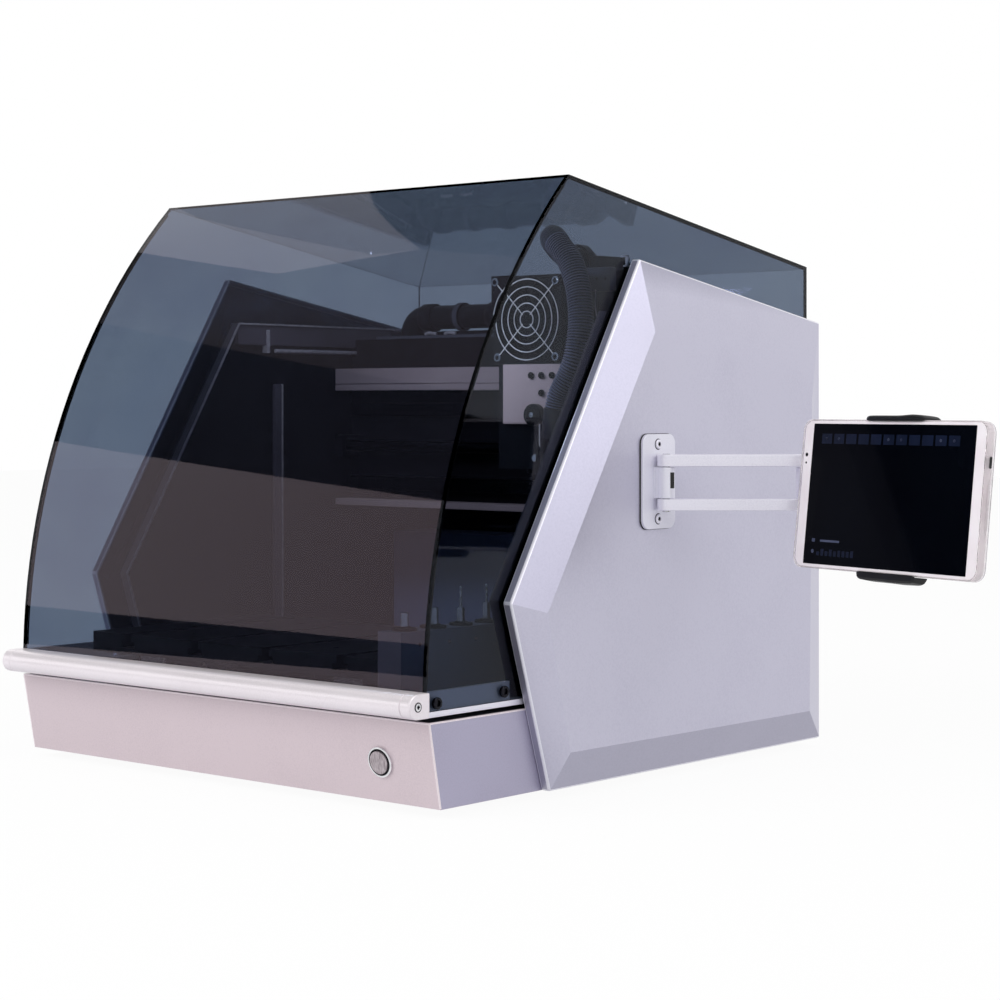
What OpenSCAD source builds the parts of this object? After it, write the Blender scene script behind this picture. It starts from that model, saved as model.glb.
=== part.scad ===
// Enclosed desktop milling machine with a hinged smoked cover, a moving bed,
// a three axis spindle head and a tablet on a folding arm.
// Drawn with y = 0 at the front edge of the base and z = 0 at its underside;
// at_origin() moves every node to the middle of the footprint, on the bench.

/* [Body] */
// Width of the base
body_w = 456; // [448:2:456]
// Depth of the base
body_d = 484; // [480:1:488]
// Height of the base
base_h = 62; // [60:0.5:62]
// How far the front of the base leans inward at the bottom
front_lean = 11.5; // [8:0.5:14]
// Wall of the folded base tub
sheet_t = 3; // [2:0.5:3]
// Height of the rubber feet
foot_h = 7; // [4:1:10]

/* [Side covers] */
// Thickness of the rim that faces the front
rim_t = 7.8; // [6:0.2:9]
// How far the flat field stands out from the inner edge of the rim
cover_bulge = 20.8; // [18:0.4:24]
// Wall of the cover shell
shell_t = 3; // [2:0.5:4]

/* [Smoked cover] */
// Radius of the curved front
lid_r = 552; // [550:1:554]
// Height of the sharp edge between front and top
lid_edge_z = 457.3; // [455:0.1:460]
// Slope of the top in degrees
lid_slope = 9.64; // [9:0.01:10]
// Acrylic thickness
lid_t = 3; // [3:0.5:5]
// Length of the grip bar with its end caps
bar_len = 457; // [455:1:470]
// Radius of the rounded front of the grip bar
bar_r = 9; // [8:0.5:10]

/* [Head and axes] */
// Sideways place of the head
head_x = 105; // [95:1:105]
// Size of the square cooling fan
fan_size = 72; // [70:1:74]
// Radius of the spindle motor
spindle_r = 26; // [20:1:26]
// Radius of the drive screws across and along
screw_r = 5; // [4:0.5:5]
// Radius of the upright drive screw
z_screw_r = 4; // [3:0.5:4]
// Radial clearance of turning shafts
run_fit = 0.05; // [0.02:0.01:0.1]

/* [Tool magazine] */
// Number of stored cutters
tool_count = 6; // [2:1:6]
// Distance between cutters
tool_pitch = 29; // [26:1:29]

/* [Tablet] */
// Width of the screen
screen_w = 168; // [160:0.2:170]
// Height of the screen
screen_h = 105; // [100:0.2:108]
// Backward lean of the tablet in degrees
tablet_lean = 6.4; // [5:0.2:10]

/* [Hidden] */

// Small roundness for turned parts and large roundness for big arcs
round_fn = 48;
arc_fn = 240;
// Overlap that keeps cuts open
cut = 1;

// Base and side covers
half_w = body_w / 2;
cover_x = half_w + 0.2;
rim_x = cover_x + rim_t;
flat_x = cover_x + cover_bulge;
wall_x = 212;
wall_t = 2;
rim_outline = [[121.5, 0], [77.7, 141], [230.9, 397], [body_d, 354.7], [body_d, 0]];
flat_outline = [[130.4, 28.9], [104.3, 133.2], [233.9, 340.6], [452.9, 288.6], [449.1, 27.2]];
deck_t = 3;
deck_end_y = 430;
panel_top_z = 312;

// Cover: the arc's centre, the sharp edge and the back
arc_y = 550;
arc_z = 70;
lid_edge_y = arc_y - sqrt(lid_r * lid_r - pow(lid_edge_z - arc_z, 2));
lid_back_y = 479.8;
lid_half_w = half_w - 2;
lid_foot_z = 83.5;
hinge_y = 462;
hinge_z = 345;
hinge_pin_r = 4;
bar_y = -12.3;
bar_z = 74.5;
bar_back_y = 0;
cap_len = 10;
rail_z = 66.4;
rail_t = 3.1;

// Beam across the machine
beam_front_y = 350;
beam_plate_y = 372;
beam_plate_t = 12;
strip_z = 190.9;
strip_h = 5.7;
top_rail_z = 297.6;
top_rail_h = 20.4;
tray_z = 345.5;
tray_t = 2.5;
rail_h = 8;
x_rail_z = [212, 280];
x_screw_y = 359;
x_screw_z = 246;
motor_size = 42;
motor_len = 29;

// Moving bed
bed_front_y = 22;
bed_back_y = 214;
bed_top_z = 100;
bed_t = 16;
bed_half_w = 163;
y_rail_x = 110;
y_rail_w = 12;
y_screw_z = 74;
magazine_w = 23;
magazine_top_z = 121;
first_tool_y = 33;

// Head
head_front_y = 250;
spindle_y = 290;
fan_z = 354;
fan_t = 25;
fan_hole_pitch = 61.5;
z_screw_y = 331;
z_way_x = 24;

// Extraction tube
tube_r = 11;
tube_y = 400;
tube_z = 365.5;
tube_bend_r = 17;
tube_x = -159.6;
hose_r = 12;
front_hose_r = 10.6;
socket_x = 143;
front_route = [[socket_x, 238, 259], [147.5, 239, 288], [157, 240, 306], [163.5, 241, 322],
    [165, 245, 348], [159.5, 249.5, 374], [148, 254.5, 397], [131, 260, 413],
    [118, 268, 420.5], [108, 281, 419], [104, 295, 412.5], [106, 307, 405]];
rear_route = [[106, 326, 402], [99, 340, 392], [80, 366, 376], [50, 388, 368],
    [22, 399, 365.5], [2, tube_y, tube_z]];

// Tablet arm
pin_x = 260;
pin_y = 233.2;
elbow_x = 338.5;
elbow_y = 306;
bar_low_z = [203.6, 212.4];
bar_high_z = [237.3, 246.5];
arm_pin_r = 3;
link_z = 224;
tablet_x = 443.7;
tablet_y = 256;
tablet_z = 217.8;
tablet_yaw = -15.5;
tablet_t = 8;
bezel_left = 11.9;
bezel_right = 11.7;
bezel_v = 3.2;
link_gap = 24;

module at_origin() translate([0, -body_d / 2, foot_h]) children();

// A box between two corners
module block(from, to) translate(from) cube(to - from);

// Round bars along each axis
module bar_along_x(from_x, to_x, y, z, r, fn = round_fn)
    translate([from_x, y, z]) rotate([0, 90, 0]) cylinder(h = to_x - from_x, r = r, $fn = fn);
module bar_along_y(from_y, to_y, x, z, r)
    translate([x, from_y, z]) rotate([-90, 0, 0]) cylinder(h = to_y - from_y, r = r, $fn = round_fn);
module bar_along_z(from_z, to_z, x, y, r)
    translate([x, y, from_z]) cylinder(h = to_z - from_z, r = r, $fn = round_fn);

// A plate whose outline lies in the y, z plane
module upright_plate(outline, from_x, t)
    translate([from_x, 0, 0]) rotate([90, 0, 90]) linear_extrude(t) polygon(outline);

// The same piece on the left and the right
module both_sides() {
    children();
    mirror([1, 0, 0]) children();
}

// ---- Base ----

module base_side(inset)
    polygon([[front_lean + inset, inset], [inset, base_h + (inset > 0 ? cut : 0)],
        [body_d - inset, base_h + (inset > 0 ? cut : 0)], [body_d - inset, inset]]);

// Local +z points straight out of the leaning front face
button_z = 29.4;
button_x = 175.4;
lean_angle = atan(front_lean / base_h);
button_r = 8.5;
module at_button()
    translate([button_x, front_lean * (1 - button_z / base_h), button_z])
        rotate([90 + lean_angle, 0, 0]) children();

module base_tub() {
    color("thistle") at_origin() difference() {
        translate([-half_w, 0, 0]) rotate([90, 0, 90]) linear_extrude(body_w) base_side(0);
        translate([-half_w + sheet_t, 0, 0]) rotate([90, 0, 90])
            linear_extrude(body_w - 2 * sheet_t) base_side(sheet_t);
        at_button() translate([0, 0, -10]) cylinder(h = 20, r = 10.5, $fn = round_fn);
        block([-180, body_d - sheet_t - cut, 16], [-132, body_d + cut, 44]);
    }
}

module feet() {
    color("dimgray") at_origin()
        for (x = [-175, 175], y = [60, body_d - 45])
            bar_along_z(-foot_h, 0, x, y, 15);
}

module deck_plate() {
    deck_half = half_w - sheet_t;
    color("black") at_origin() difference() {
        union() {
            block([-deck_half, 4, base_h - deck_t], [deck_half, deck_end_y, base_h]);
            block([-12, 8, base_h], [12, 20, 86]);
        }
        bar_along_y(8 - cut, 20 + cut, 0, y_screw_z, screw_r + run_fit);
    }
}

module button_bezel() {
    color("silver") at_origin() at_button() difference() {
        union() {
            cylinder(h = 1.8, r = 11.3, $fn = round_fn);
            translate([0, 0, -7]) cylinder(h = 8, r = 10.4, $fn = round_fn);
        }
        translate([0, 0, -8]) cylinder(h = 12, r = button_r + 0.5, $fn = round_fn);
    }
}

module button_cap() {
    color("gainsboro") at_origin() at_button()
        translate([0, 0, -7]) cylinder(h = 10, r = button_r, $fn = round_fn);
}

// ---- Side covers and walls ----

// Folded shell: a rim, five bevels and the flat field
module side_cover() {
    difference() {
        hull() {
            upright_plate(rim_outline, cover_x, rim_t);
            upright_plate(flat_outline, flat_x - 0.1, 0.1);
        }
        hull() {
            upright_plate(inner_rim(), cover_x - cut, rim_t - shell_t + cut);
            upright_plate(flat_outline, flat_x - shell_t - 0.1, 0.1);
        }
    }
}

// The rim outline set in by the shell's wall on every side
function inner_rim() = [
    [rim_outline[0][0] + shell_t, rim_outline[0][1] + shell_t],
    [rim_outline[1][0] + shell_t * 1.1, rim_outline[1][1]],
    [rim_outline[2][0] + shell_t * 0.3, rim_outline[2][1] - shell_t * 1.1],
    [rim_outline[3][0] - shell_t, rim_outline[3][1] - shell_t],
    [rim_outline[4][0] - shell_t, rim_outline[4][1] + shell_t]];

module right_side_cover() {
    color("lavender") at_origin() side_cover();
}

module left_side_cover() {
    color("lavender") at_origin() mirror([1, 0, 0]) side_cover();
}

wall_front = [[115, base_h], [91, 141], [220, 357]];

module inner_walls() {
    flange_w = 8;
    color("dimgray") at_origin() both_sides() difference() {
        union() {
            upright_plate(concat(wall_front, [[428, 357], [428, panel_top_z],
                [body_d - sheet_t, panel_top_z], [body_d - sheet_t, base_h]]), wall_x, wall_t);
            upright_plate(concat(wall_front, [for (i = [2:-1:0]) wall_front[i] + [2.4, 0]]),
                wall_x - flange_w, flange_w + wall_t);
        }
        bar_along_x(wall_x - cut, wall_x + wall_t + cut, x_screw_y, x_screw_z, 9);
    }
}

module rear_panel() {
    color("dimgray") at_origin() difference() {
        block([-half_w, body_d - sheet_t, base_h], [half_w, body_d, panel_top_z]);
        bar_along_y(body_d - sheet_t - cut, body_d + cut, tube_x, 253, tube_r + 0.2);
        for (i = [0:9])
            block([60 + 12 * i, body_d - sheet_t - cut, 110], [66 + 12 * i, body_d + cut, 150]);
    }
}

// Angled cover over the bed motor at the back
module rear_lower_cover() {
    top_z = 163;
    color("slategray") at_origin() difference() {
        union() {
            block([-wall_x, deck_end_y, base_h - deck_t], [wall_x, deck_end_y + 2, top_z]);
            block([-wall_x, deck_end_y, top_z - 2], [wall_x, body_d - sheet_t, top_z]);
        }
        bar_along_y(deck_end_y - cut, deck_end_y + 2 + cut, 0, y_screw_z, 11);
    }
}

// Each holds a side cover off its wall and carries a pin of the cover's hinge
module side_brackets() {
    outline = [[430, 95], [455, 95], [474, 330], [474, 352], [450, 352], [430, 250]];
    plate_x = 229;
    plate_t = 3;
    inner_flat_x = flat_x - shell_t - 0.1;
    color("gray") at_origin() both_sides() union() {
        upright_plate(outline, plate_x, plate_t);
        bar_along_x(217, plate_x + 1, hinge_y, hinge_z, hinge_pin_r);
        for (z = [120, 230]) {
            bar_along_x(wall_x + wall_t, plate_x + 1, 440, z, 6);
            bar_along_x(plate_x + plate_t - 1, inner_flat_x, 440, z, 6);
        }
    }
}

// ---- Beam ----

// Back plate of the beam with a bearing block at each end of the screw
module beam_plate() {
    color("black") at_origin() difference() {
        union() {
            block([-wall_x, beam_plate_y, strip_z],
                [wall_x, beam_plate_y + beam_plate_t, tray_z]);
            for (x = [-wall_x, wall_x - 10])
                block([x, 349, 236], [x + 10, beam_plate_y, 256]);
        }
        bar_along_x(-wall_x - cut, wall_x + cut, x_screw_y, x_screw_z, screw_r + run_fit);
    }
}

module beam_top_extrusion() {
    groove_z = 303;
    color("silver") at_origin() difference() {
        block([-wall_x, beam_front_y, top_rail_z],
            [wall_x, beam_plate_y, top_rail_z + top_rail_h]);
        block([-wall_x - cut, beam_front_y - cut, groove_z],
            [wall_x + cut, beam_front_y + 1.2, groove_z + 0.8]);
    }
}

module beam_lower_strip() {
    color("silver") at_origin()
        block([-wall_x, beam_front_y, strip_z], [wall_x, beam_plate_y, strip_z + strip_h]);
}

// Two rails along the beam and two along the deck
module linear_rails() {
    color("dimgray") at_origin() {
        for (z = x_rail_z)
            block([-206, beam_plate_y - rail_h, z - 6], [206, beam_plate_y, z + 6]);
        for (x = [-y_rail_x, y_rail_x])
            block([x - y_rail_w / 2, 24, base_h], [x + y_rail_w / 2, deck_end_y - 2, base_h + rail_h]);
    }
}

// Square stepper motor with its face at z = 0 and a blind hole for the screw
module stepper(hole_r) {
    difference() {
        translate([0, 0, motor_len / 2]) intersection() {
            cube([motor_size, motor_size, motor_len], center = true);
            rotate([0, 0, 45]) cube([54, 54, motor_len], center = true);
        }
        translate([0, 0, -cut]) cylinder(h = 20, r = hole_r, $fn = round_fn);
    }
}

module drive_motors() {
    color("black") at_origin() {
        translate([wall_x + wall_t, x_screw_y, x_screw_z]) rotate([0, 90, 0])
            stepper(screw_r + 0.2);
        translate([0, deck_end_y + 2, y_screw_z]) rotate([-90, 0, 0])
            stepper(screw_r + 0.2);
    }
}

module top_tray() {
    color("dimgray") at_origin() difference() {
        block([-180, beam_plate_y, tray_z], [wall_x, 426, tray_z + tray_t]);
        bar_along_z(tray_z - cut, tray_z + tray_t + cut, tube_x, tube_y, tube_r + 0.2);
    }
}

// A quarter turn of tube, from local +y round to local +x
module tube_bend()
    rotate_extrude(angle = 90, $fn = round_fn)
        translate([tube_bend_r, 0]) difference() {
            circle(r = tube_r, $fn = round_fn);
            circle(r = tube_r - 1.5, $fn = round_fn);
        }

module tube_length(h)
    difference() {
        cylinder(h = h, r = tube_r, $fn = round_fn);
        translate([0, 0, -cut]) cylinder(h = h + 2 * cut, r = tube_r - 1.5, $fn = round_fn);
    }

// Rigid tube: along the tray, down through it and out of the back
module extraction_tube() {
    outlet_z = 253;
    drop_z = outlet_z + tube_bend_r;
    bend_x = tube_x + tube_bend_r;
    color("black") at_origin() {
        translate([bend_x, tube_y, tube_z]) rotate([0, 90, 0]) tube_length(-bend_x);
        translate([bend_x, tube_y, tube_z - tube_bend_r]) rotate([90, 0, 0])
            rotate([0, 0, 90]) tube_bend();
        translate([tube_x, tube_y, drop_z]) tube_length(tube_z - tube_bend_r - drop_z);
        translate([tube_x, tube_y + tube_bend_r, drop_z]) rotate([0, -90, 0])
            rotate([0, 0, 180]) tube_bend();
        translate([tube_x, tube_y + tube_bend_r, outlet_z]) rotate([-90, 0, 0])
            tube_length(body_d + 15 - tube_y - tube_bend_r);
        translate([-99, tube_y, tube_z]) rotate([0, 90, 0]) difference() {
            cylinder(h = 6, r = tube_r + 1.5, $fn = round_fn);
            translate([0, 0, -cut]) cylinder(h = 6 + 2 * cut, r = tube_r - 0.5, $fn = round_fn);
        }
    }
}

// ---- Inside the base ----

module power_supply() {
    color("silver") at_origin() block([-205, 250, sheet_t], [-105, 420, 45]);
}

module control_board() {
    color("green") at_origin() union() {
        block([60, 250, 12], [200, 400, 14]);
        for (x = [66, 194], y = [256, 394])
            bar_along_z(sheet_t, 12.5, x, y, 3);
        for (i = [0:3])
            block([72 + 30 * i, 300, 13.5], [90 + 30 * i, 318, 20]);
        block([80, 372, 13.5], [180, 390, 26]);
    }
}

// Three-pin appliance inlet in the back of the base
module power_inlet() {
    color("black") at_origin() difference() {
        union() {
            block([-180, body_d - 22, 16], [-132, body_d, 44]);
            block([-184, body_d, 13], [-128, body_d + 2.5, 47]);
        }
        block([-169, body_d - 17, 21], [-143, body_d + 2.5 + cut, 39]);
    }
}

// ---- Smoked cover ----

// Everything under the cover's outer faces, set in by a distance
module lid_volume(inset, half)
    intersection() {
        bar_along_x(-half, half, arc_y, arc_z, lid_r - inset, arc_fn);
        translate([0, lid_edge_y, lid_edge_z]) rotate([-lid_slope, 0, 0])
            block([-half - cut, -300, -700], [half + cut, 600, -inset]);
        block([-half - cut, -50, 0], [half + cut, lid_back_y - inset, 700]);
    }

module lid_sheet() {
    inner_half = lid_half_w - lid_t;
    back_foot_z = hinge_z - 20;
    color("slategray", 0.6) at_origin() difference() {
        lid_volume(0, inner_half);
        lid_volume(lid_t, inner_half + cut);
        block([-half_w, -60, -cut], [half_w, 60, lid_foot_z]);
        block([-half_w, 400, -cut], [half_w, 500, back_foot_z]);
    }
}

// Flat sides that run down behind the rims of the side covers
module lid_side_panels() {
    side_edge = [[bar_back_y, rail_z + rail_t], [150, rail_z + rail_t], [125, 141], [262, 352],
        [446, 326], [500, 326], [500, 500], [-20, 500], [-20, lid_foot_z], [bar_back_y, lid_foot_z]];
    color("slategray", 0.6) at_origin() both_sides() difference() {
        intersection() {
            upright_plate(side_edge, lid_half_w - lid_t, lid_t);
            lid_volume(0, lid_half_w + cut);
        }
        bar_along_x(lid_half_w - lid_t - cut, lid_half_w + cut, hinge_y, hinge_z,
            hinge_pin_r + run_fit);
    }
}

// Rounded front, flat back
module bar_profile(from_x, to_x)
    union() {
        bar_along_x(from_x, to_x, bar_y, bar_z, bar_r, 96);
        block([from_x, bar_y, bar_z - bar_r], [to_x, bar_back_y, bar_z + bar_r]);
    }

module lid_bar() {
    half = bar_len / 2 - cap_len;
    color("gainsboro") at_origin() bar_profile(-half, half);
}

module bar_end_caps() {
    from_x = bar_len / 2 - cap_len;
    color("gainsboro") at_origin() both_sides() bar_profile(from_x, from_x + cap_len);
}

// Angle strip along the foot of each side panel
module lid_side_rails() {
    strip_x = lid_half_w - lid_t - 3.2;
    color("silver") at_origin() both_sides() union() {
        block([wall_x + 3, bar_back_y, rail_z], [lid_half_w, 160, rail_z + rail_t]);
        block([strip_x, bar_back_y, rail_z + rail_t], [strip_x + 3.2, 90, lid_foot_z]);
    }
}

module lid_screws() {
    head_x0 = lid_half_w;
    cap_x = bar_len / 2;
    color("black") at_origin() both_sides() {
        for (p = [[8.3, 74.5], [81.1, 76.6]])
            bar_along_x(head_x0, head_x0 + 2.2, p[0], p[1], 3.5);
        bar_along_x(cap_x, cap_x + 0.8, bar_y, bar_z, 3.4);
    }
}

// ---- Moving bed ----

module bed_plate() {
    slot_w = 8;
    mid_y = (bed_front_y + bed_back_y) / 2;
    color("black") at_origin() difference() {
        union() {
            block([-bed_half_w, bed_front_y, bed_top_z - bed_t],
                [bed_half_w, bed_back_y, bed_top_z]);
            block([-14, 100, y_screw_z - 8], [14, 130, bed_top_z - bed_t + cut]);
        }
        for (x = [-120, -40, 40, 120]) {
            block([x - slot_w / 2, bed_front_y - cut, bed_top_z - 6],
                [x + slot_w / 2, bed_back_y + cut, bed_top_z + cut]);
            block([x - slot_w, bed_front_y - cut, bed_top_z - 11],
                [x + slot_w, bed_back_y + cut, bed_top_z - 6]);
        }
        for (x = [-80, 80], y = [mid_y - 60, mid_y + 60])
            bar_along_z(bed_top_z - bed_t - cut, bed_top_z + cut, x, y, 2.5);
        bar_along_y(100 - cut, 130 + cut, 0, y_screw_z, screw_r + run_fit);
    }
}

// Four carriages that wrap the deck rails
module bed_blocks() {
    gap = 0.3;
    color("silver") at_origin()
        for (x = [-y_rail_x, y_rail_x], y = [40, 156]) difference() {
            block([x - 15, y, base_h + 2], [x + 15, y + 40, bed_top_z - bed_t]);
            block([x - y_rail_w / 2 - gap, y - cut, base_h],
                [x + y_rail_w / 2 + gap, y + 40 + cut, base_h + rail_h + gap]);
        }
}

// Block bolted along the right edge of the bed
module tool_magazine() {
    block_y = 17;
    color("dimgray") at_origin() difference() {
        block([bed_half_w, block_y, 72],
            [bed_half_w + magazine_w, first_tool_y + tool_count * tool_pitch - 13, magazine_top_z]);
        for (i = [0:tool_count - 1]) {
            tool_y = first_tool_y + i * tool_pitch;
            bar_along_z(magazine_top_z - 16, magazine_top_z + cut,
                bed_half_w + magazine_w / 2, tool_y, 3.05);
            bar_along_x(bed_half_w + magazine_w - 4, bed_half_w + magazine_w + cut,
                tool_y + 4, 111.5, 1.6);
        }
    }
}

// Collars, shanks and cutting ends of different lengths
module stored_cutters() {
    x = bed_half_w + magazine_w / 2;
    bit_len = [0, 0, 16, 14, 0, 10];
    shank_len = [11, 13, 11, 13, 12, 12];
    color("silver") at_origin()
        for (i = [0:tool_count - 1]) {
            y = first_tool_y + i * tool_pitch;
            top_z = magazine_top_z + 2 + shank_len[i];
            bar_along_z(magazine_top_z - 15, top_z, x, y, 3);
            bar_along_z(magazine_top_z, magazine_top_z + 2, x, y, 9);
            if (bit_len[i] > 0)
                bar_along_z(top_z, top_z + bit_len[i], x, y, 1.2);
        }
}

// ---- Carriage on the beam ----

x_plate_front_y = 338;
x_plate_back_y = 348;
x_plate_top_z = 322;
shelf_top_z = 326;
x_plate_half_w = 34;
z_way_w = 9;

// Plate with the two upright ways, the screw nut, the motor shelf and the hose arm
module x_plate() {
    hose_ring = [106, 316, 403.5];
    color("black") at_origin() difference() {
        union() {
            block([head_x - x_plate_half_w, x_plate_front_y, 200],
                [head_x + x_plate_half_w, x_plate_back_y, x_plate_top_z]);
            for (x = [-z_way_x, z_way_x])
                block([head_x + x - z_way_w / 2, 330, 200],
                    [head_x + x + z_way_w / 2, x_plate_front_y, 318]);
            block([head_x - 14, x_plate_back_y - cut, 236], [head_x + 14, 370, 256]);
            block([head_x - 10, 327, 200], [head_x + 10, x_plate_front_y + cut, 207]);
            block([head_x - 21, 312, x_plate_top_z - 2], [head_x + 21, x_plate_back_y, shelf_top_z]);
            block([head_x + 22, 343, x_plate_top_z - cut], [head_x + 30, x_plate_back_y, 408]);
            block([head_x + 22, 313, 392], [head_x + 26, x_plate_back_y, 408]);
            block([hose_ring[0] + hose_r, 313, 398], [head_x + 26, 319, 408]);
            translate(hose_ring) rotate([-90, 0, 0])
                cylinder(h = 8, r = hose_r + 3, center = true, $fn = round_fn);
        }
        bar_along_x(head_x - 20, head_x + 20, x_screw_y, x_screw_z, screw_r + run_fit);
        bar_along_z(199, 327, head_x, z_screw_y, z_screw_r + run_fit);
        translate(hose_ring) rotate([-90, 0, 0])
            cylinder(h = 10, r = hose_r + 0.3, center = true, $fn = round_fn);
    }
}

module x_blocks() {
    gap = 0.3;
    color("silver") at_origin()
        for (x = [-33, 3], z = x_rail_z) difference() {
            block([head_x + x, x_plate_back_y, z - 13], [head_x + x + 30, 369, z + 13]);
            block([head_x + x - cut, beam_plate_y - rail_h - gap, z - 6 - gap],
                [head_x + x + 30 + cut, beam_plate_y, z + 6 + gap]);
        }
}

module z_motor() {
    color("black") at_origin() translate([head_x, z_screw_y, shelf_top_z])
        stepper(z_screw_r + 0.3);
}

// ---- Head ----

// Back plate of the head with the slides and the nut
module z_plate() {
    gap = 0.3;
    color("gray") at_origin() difference() {
        union() {
            block([head_x - 35, 316, 232], [head_x + 35, 326, 316]);
            for (x = [-z_way_x, z_way_x])
                block([head_x + x - 9, 325, 274], [head_x + x + 9, 335, 314]);
            block([head_x - 10, 325, 282], [head_x + 10, 337, 310]);
        }
        for (x = [-z_way_x, z_way_x])
            block([head_x + x - z_way_w / 2 - gap, 330 - gap, 273],
                [head_x + x + z_way_w / 2 + gap, 340, 315]);
        bar_along_z(281, 311, head_x, z_screw_y, z_screw_r + run_fit);
    }
}

head_base_y = 253;
head_top_z = 317.5;

module head_block() {
    color("black") at_origin() difference() {
        block([head_x - 33, head_base_y, 232], [head_x + 34, 316, head_top_z]);
        bar_along_z(231, 300, head_x, spindle_y, spindle_r);
    }
}

module spindle_body() {
    color("dimgray") at_origin() difference() {
        bar_along_z(228, 300, head_x, spindle_y, spindle_r);
        bar_along_z(227, 290, head_x, spindle_y, screw_r + run_fit);
    }
}

// Shaft and collet nut with the bore that grips a cutter
module spindle_shaft() {
    color("silver") at_origin() difference() {
        union() {
            bar_along_z(214, 289, head_x, spindle_y, screw_r);
            bar_along_z(212, 227.5, head_x, spindle_y, 9.5);
        }
        bar_along_z(211, 232, head_x, spindle_y, 1.5875);
    }
}

fan_back_y = head_front_y + fan_t;

module fan_box() {
    half = fan_size / 2;
    t = 2;
    side_x = head_x + half;
    color("black") at_origin() union() {
        difference() {
            block([head_x - half, fan_back_y, head_top_z], [side_x, 309, fan_z + half]);
            block([head_x - half + t, fan_back_y - cut, head_top_z + t],
                [side_x - t, 309 - t, fan_z + half - t]);
        }
        block([side_x - 1, 297, 330], [172, 309, 394]);
        block([side_x - 1, 284, 377], [154.5, 297.5, 396]);
    }
}

module at_fan() translate([head_x, head_front_y, fan_z]) rotate([-90, 0, 0]) children();

// Square frame with a hub on three struts at the back
module fan_frame() {
    hub_z = fan_t - 3;
    hub_t = 2.5;
    color("black") at_origin() at_fan() union() {
        difference() {
            translate([0, 0, fan_t / 2]) cube([fan_size, fan_size, fan_t], center = true);
            translate([0, 0, -cut]) cylinder(h = fan_t + 2 * cut, r = fan_size / 2 - 3, $fn = 96);
            for (x = [-0.5, 0.5], y = [-0.5, 0.5])
                translate([x * fan_hole_pitch, y * fan_hole_pitch, -cut])
                    cylinder(h = fan_t + 2 * cut, r = 1.8, $fn = 32);
        }
        for (a = [20:120:260]) rotate([0, 0, a])
            translate([8, -3, hub_z]) cube([fan_size / 2 - 9, 6, hub_t]);
        translate([0, 0, hub_z]) cylinder(h = hub_t, r = 13, $fn = round_fn);
        translate([0, 0, 5]) cylinder(h = hub_z - 4, r = 2, $fn = round_fn);
    }
}

module fan_rotor() {
    blades = 7;
    color("dimgray") at_origin() at_fan() difference() {
        union() {
            translate([0, 0, 3]) cylinder(h = 18, r = 14, $fn = round_fn);
            for (i = [0:blades - 1]) rotate([0, 0, i * 360 / blades])
                translate([22, 0, 12]) rotate([38, 0, 0])
                    cube([19, 17, 1.6], center = true);
        }
        translate([0, 0, 4]) cylinder(h = 20, r = 2 + run_fit, $fn = round_fn);
    }
}

// Six rings and four crossing wires that run to the corner screws
module fan_grille() {
    rings = 6;
    wire_r = 0.8;
    step = (fan_size / 2 - 2.5) / rings;
    color("silver") at_origin() at_fan() translate([0, 0, -wire_r]) union() {
        for (i = [1:rings]) rotate_extrude($fn = 96)
            translate([i * step, 0]) circle(r = wire_r, $fn = 16);
        for (a = [45:90:315]) rotate([0, 0, a]) translate([3, 0, 0])
            rotate([0, 90, 0]) cylinder(h = fan_hole_pitch * 0.7071 - 5.5, r = wire_r, $fn = 16);
        for (a = [45:90:315]) rotate([0, 0, a]) translate([fan_hole_pitch * 0.7071, 0, 0])
            rotate_extrude($fn = 32) translate([2.6, 0]) circle(r = wire_r, $fn = 16);
    }
}

module head_trim_plate() {
    color("gainsboro") at_origin()
        block([head_x - 26, head_front_y, 268.8], [head_x + 34.5, head_base_y, head_top_z]);
}

// Corner screws of the fan, screws of the plate and two clamp knobs
module head_screws() {
    color("silver") at_origin() {
        for (x = [-0.5, 0.5], z = [-0.5, 0.5])
            bar_along_y(head_front_y - 2.4, head_front_y, head_x + x * fan_hole_pitch,
                fan_z + z * fan_hole_pitch, 1.8);
        for (p = [[4.5, 308.3], [15.5, 308.3], [26.5, 308.3], [15.5, 294.1]])
            bar_along_y(head_front_y - 1.6, head_front_y, head_x + p[0], p[1], 2.4);
        bar_along_y(head_front_y - 8, head_front_y, head_x + 10.4, 276.2, 9);
        bar_along_y(244, head_base_y, head_x + 12.7, 241.3, 4.5);
    }
}

// Socket beside the head that the lower end of the hose plugs onto
module hose_socket() {
    color("black") at_origin() union() {
        bar_along_z(232, 257, socket_x, 238, 11);
        block([124, 238, 234], [socket_x, head_base_y, 248]);
    }
}

// ---- Hoses ----

function unit(v) = v / norm(v);
// Point on a smooth curve through the route, with s from 0 to the last index
function route_at(r, s) = let (
    n = len(r) - 1,
    i = min(floor(s), n - 1),
    t = s - i,
    a = r[max(i - 1, 0)], b = r[i], c = r[i + 1], d = r[min(i + 2, n)])
    0.5 * (2 * b + (c - a) * t + (2 * a - 5 * b + 4 * c - d) * t * t
        + (3 * b - a - 3 * c + d) * t * t * t);

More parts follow.
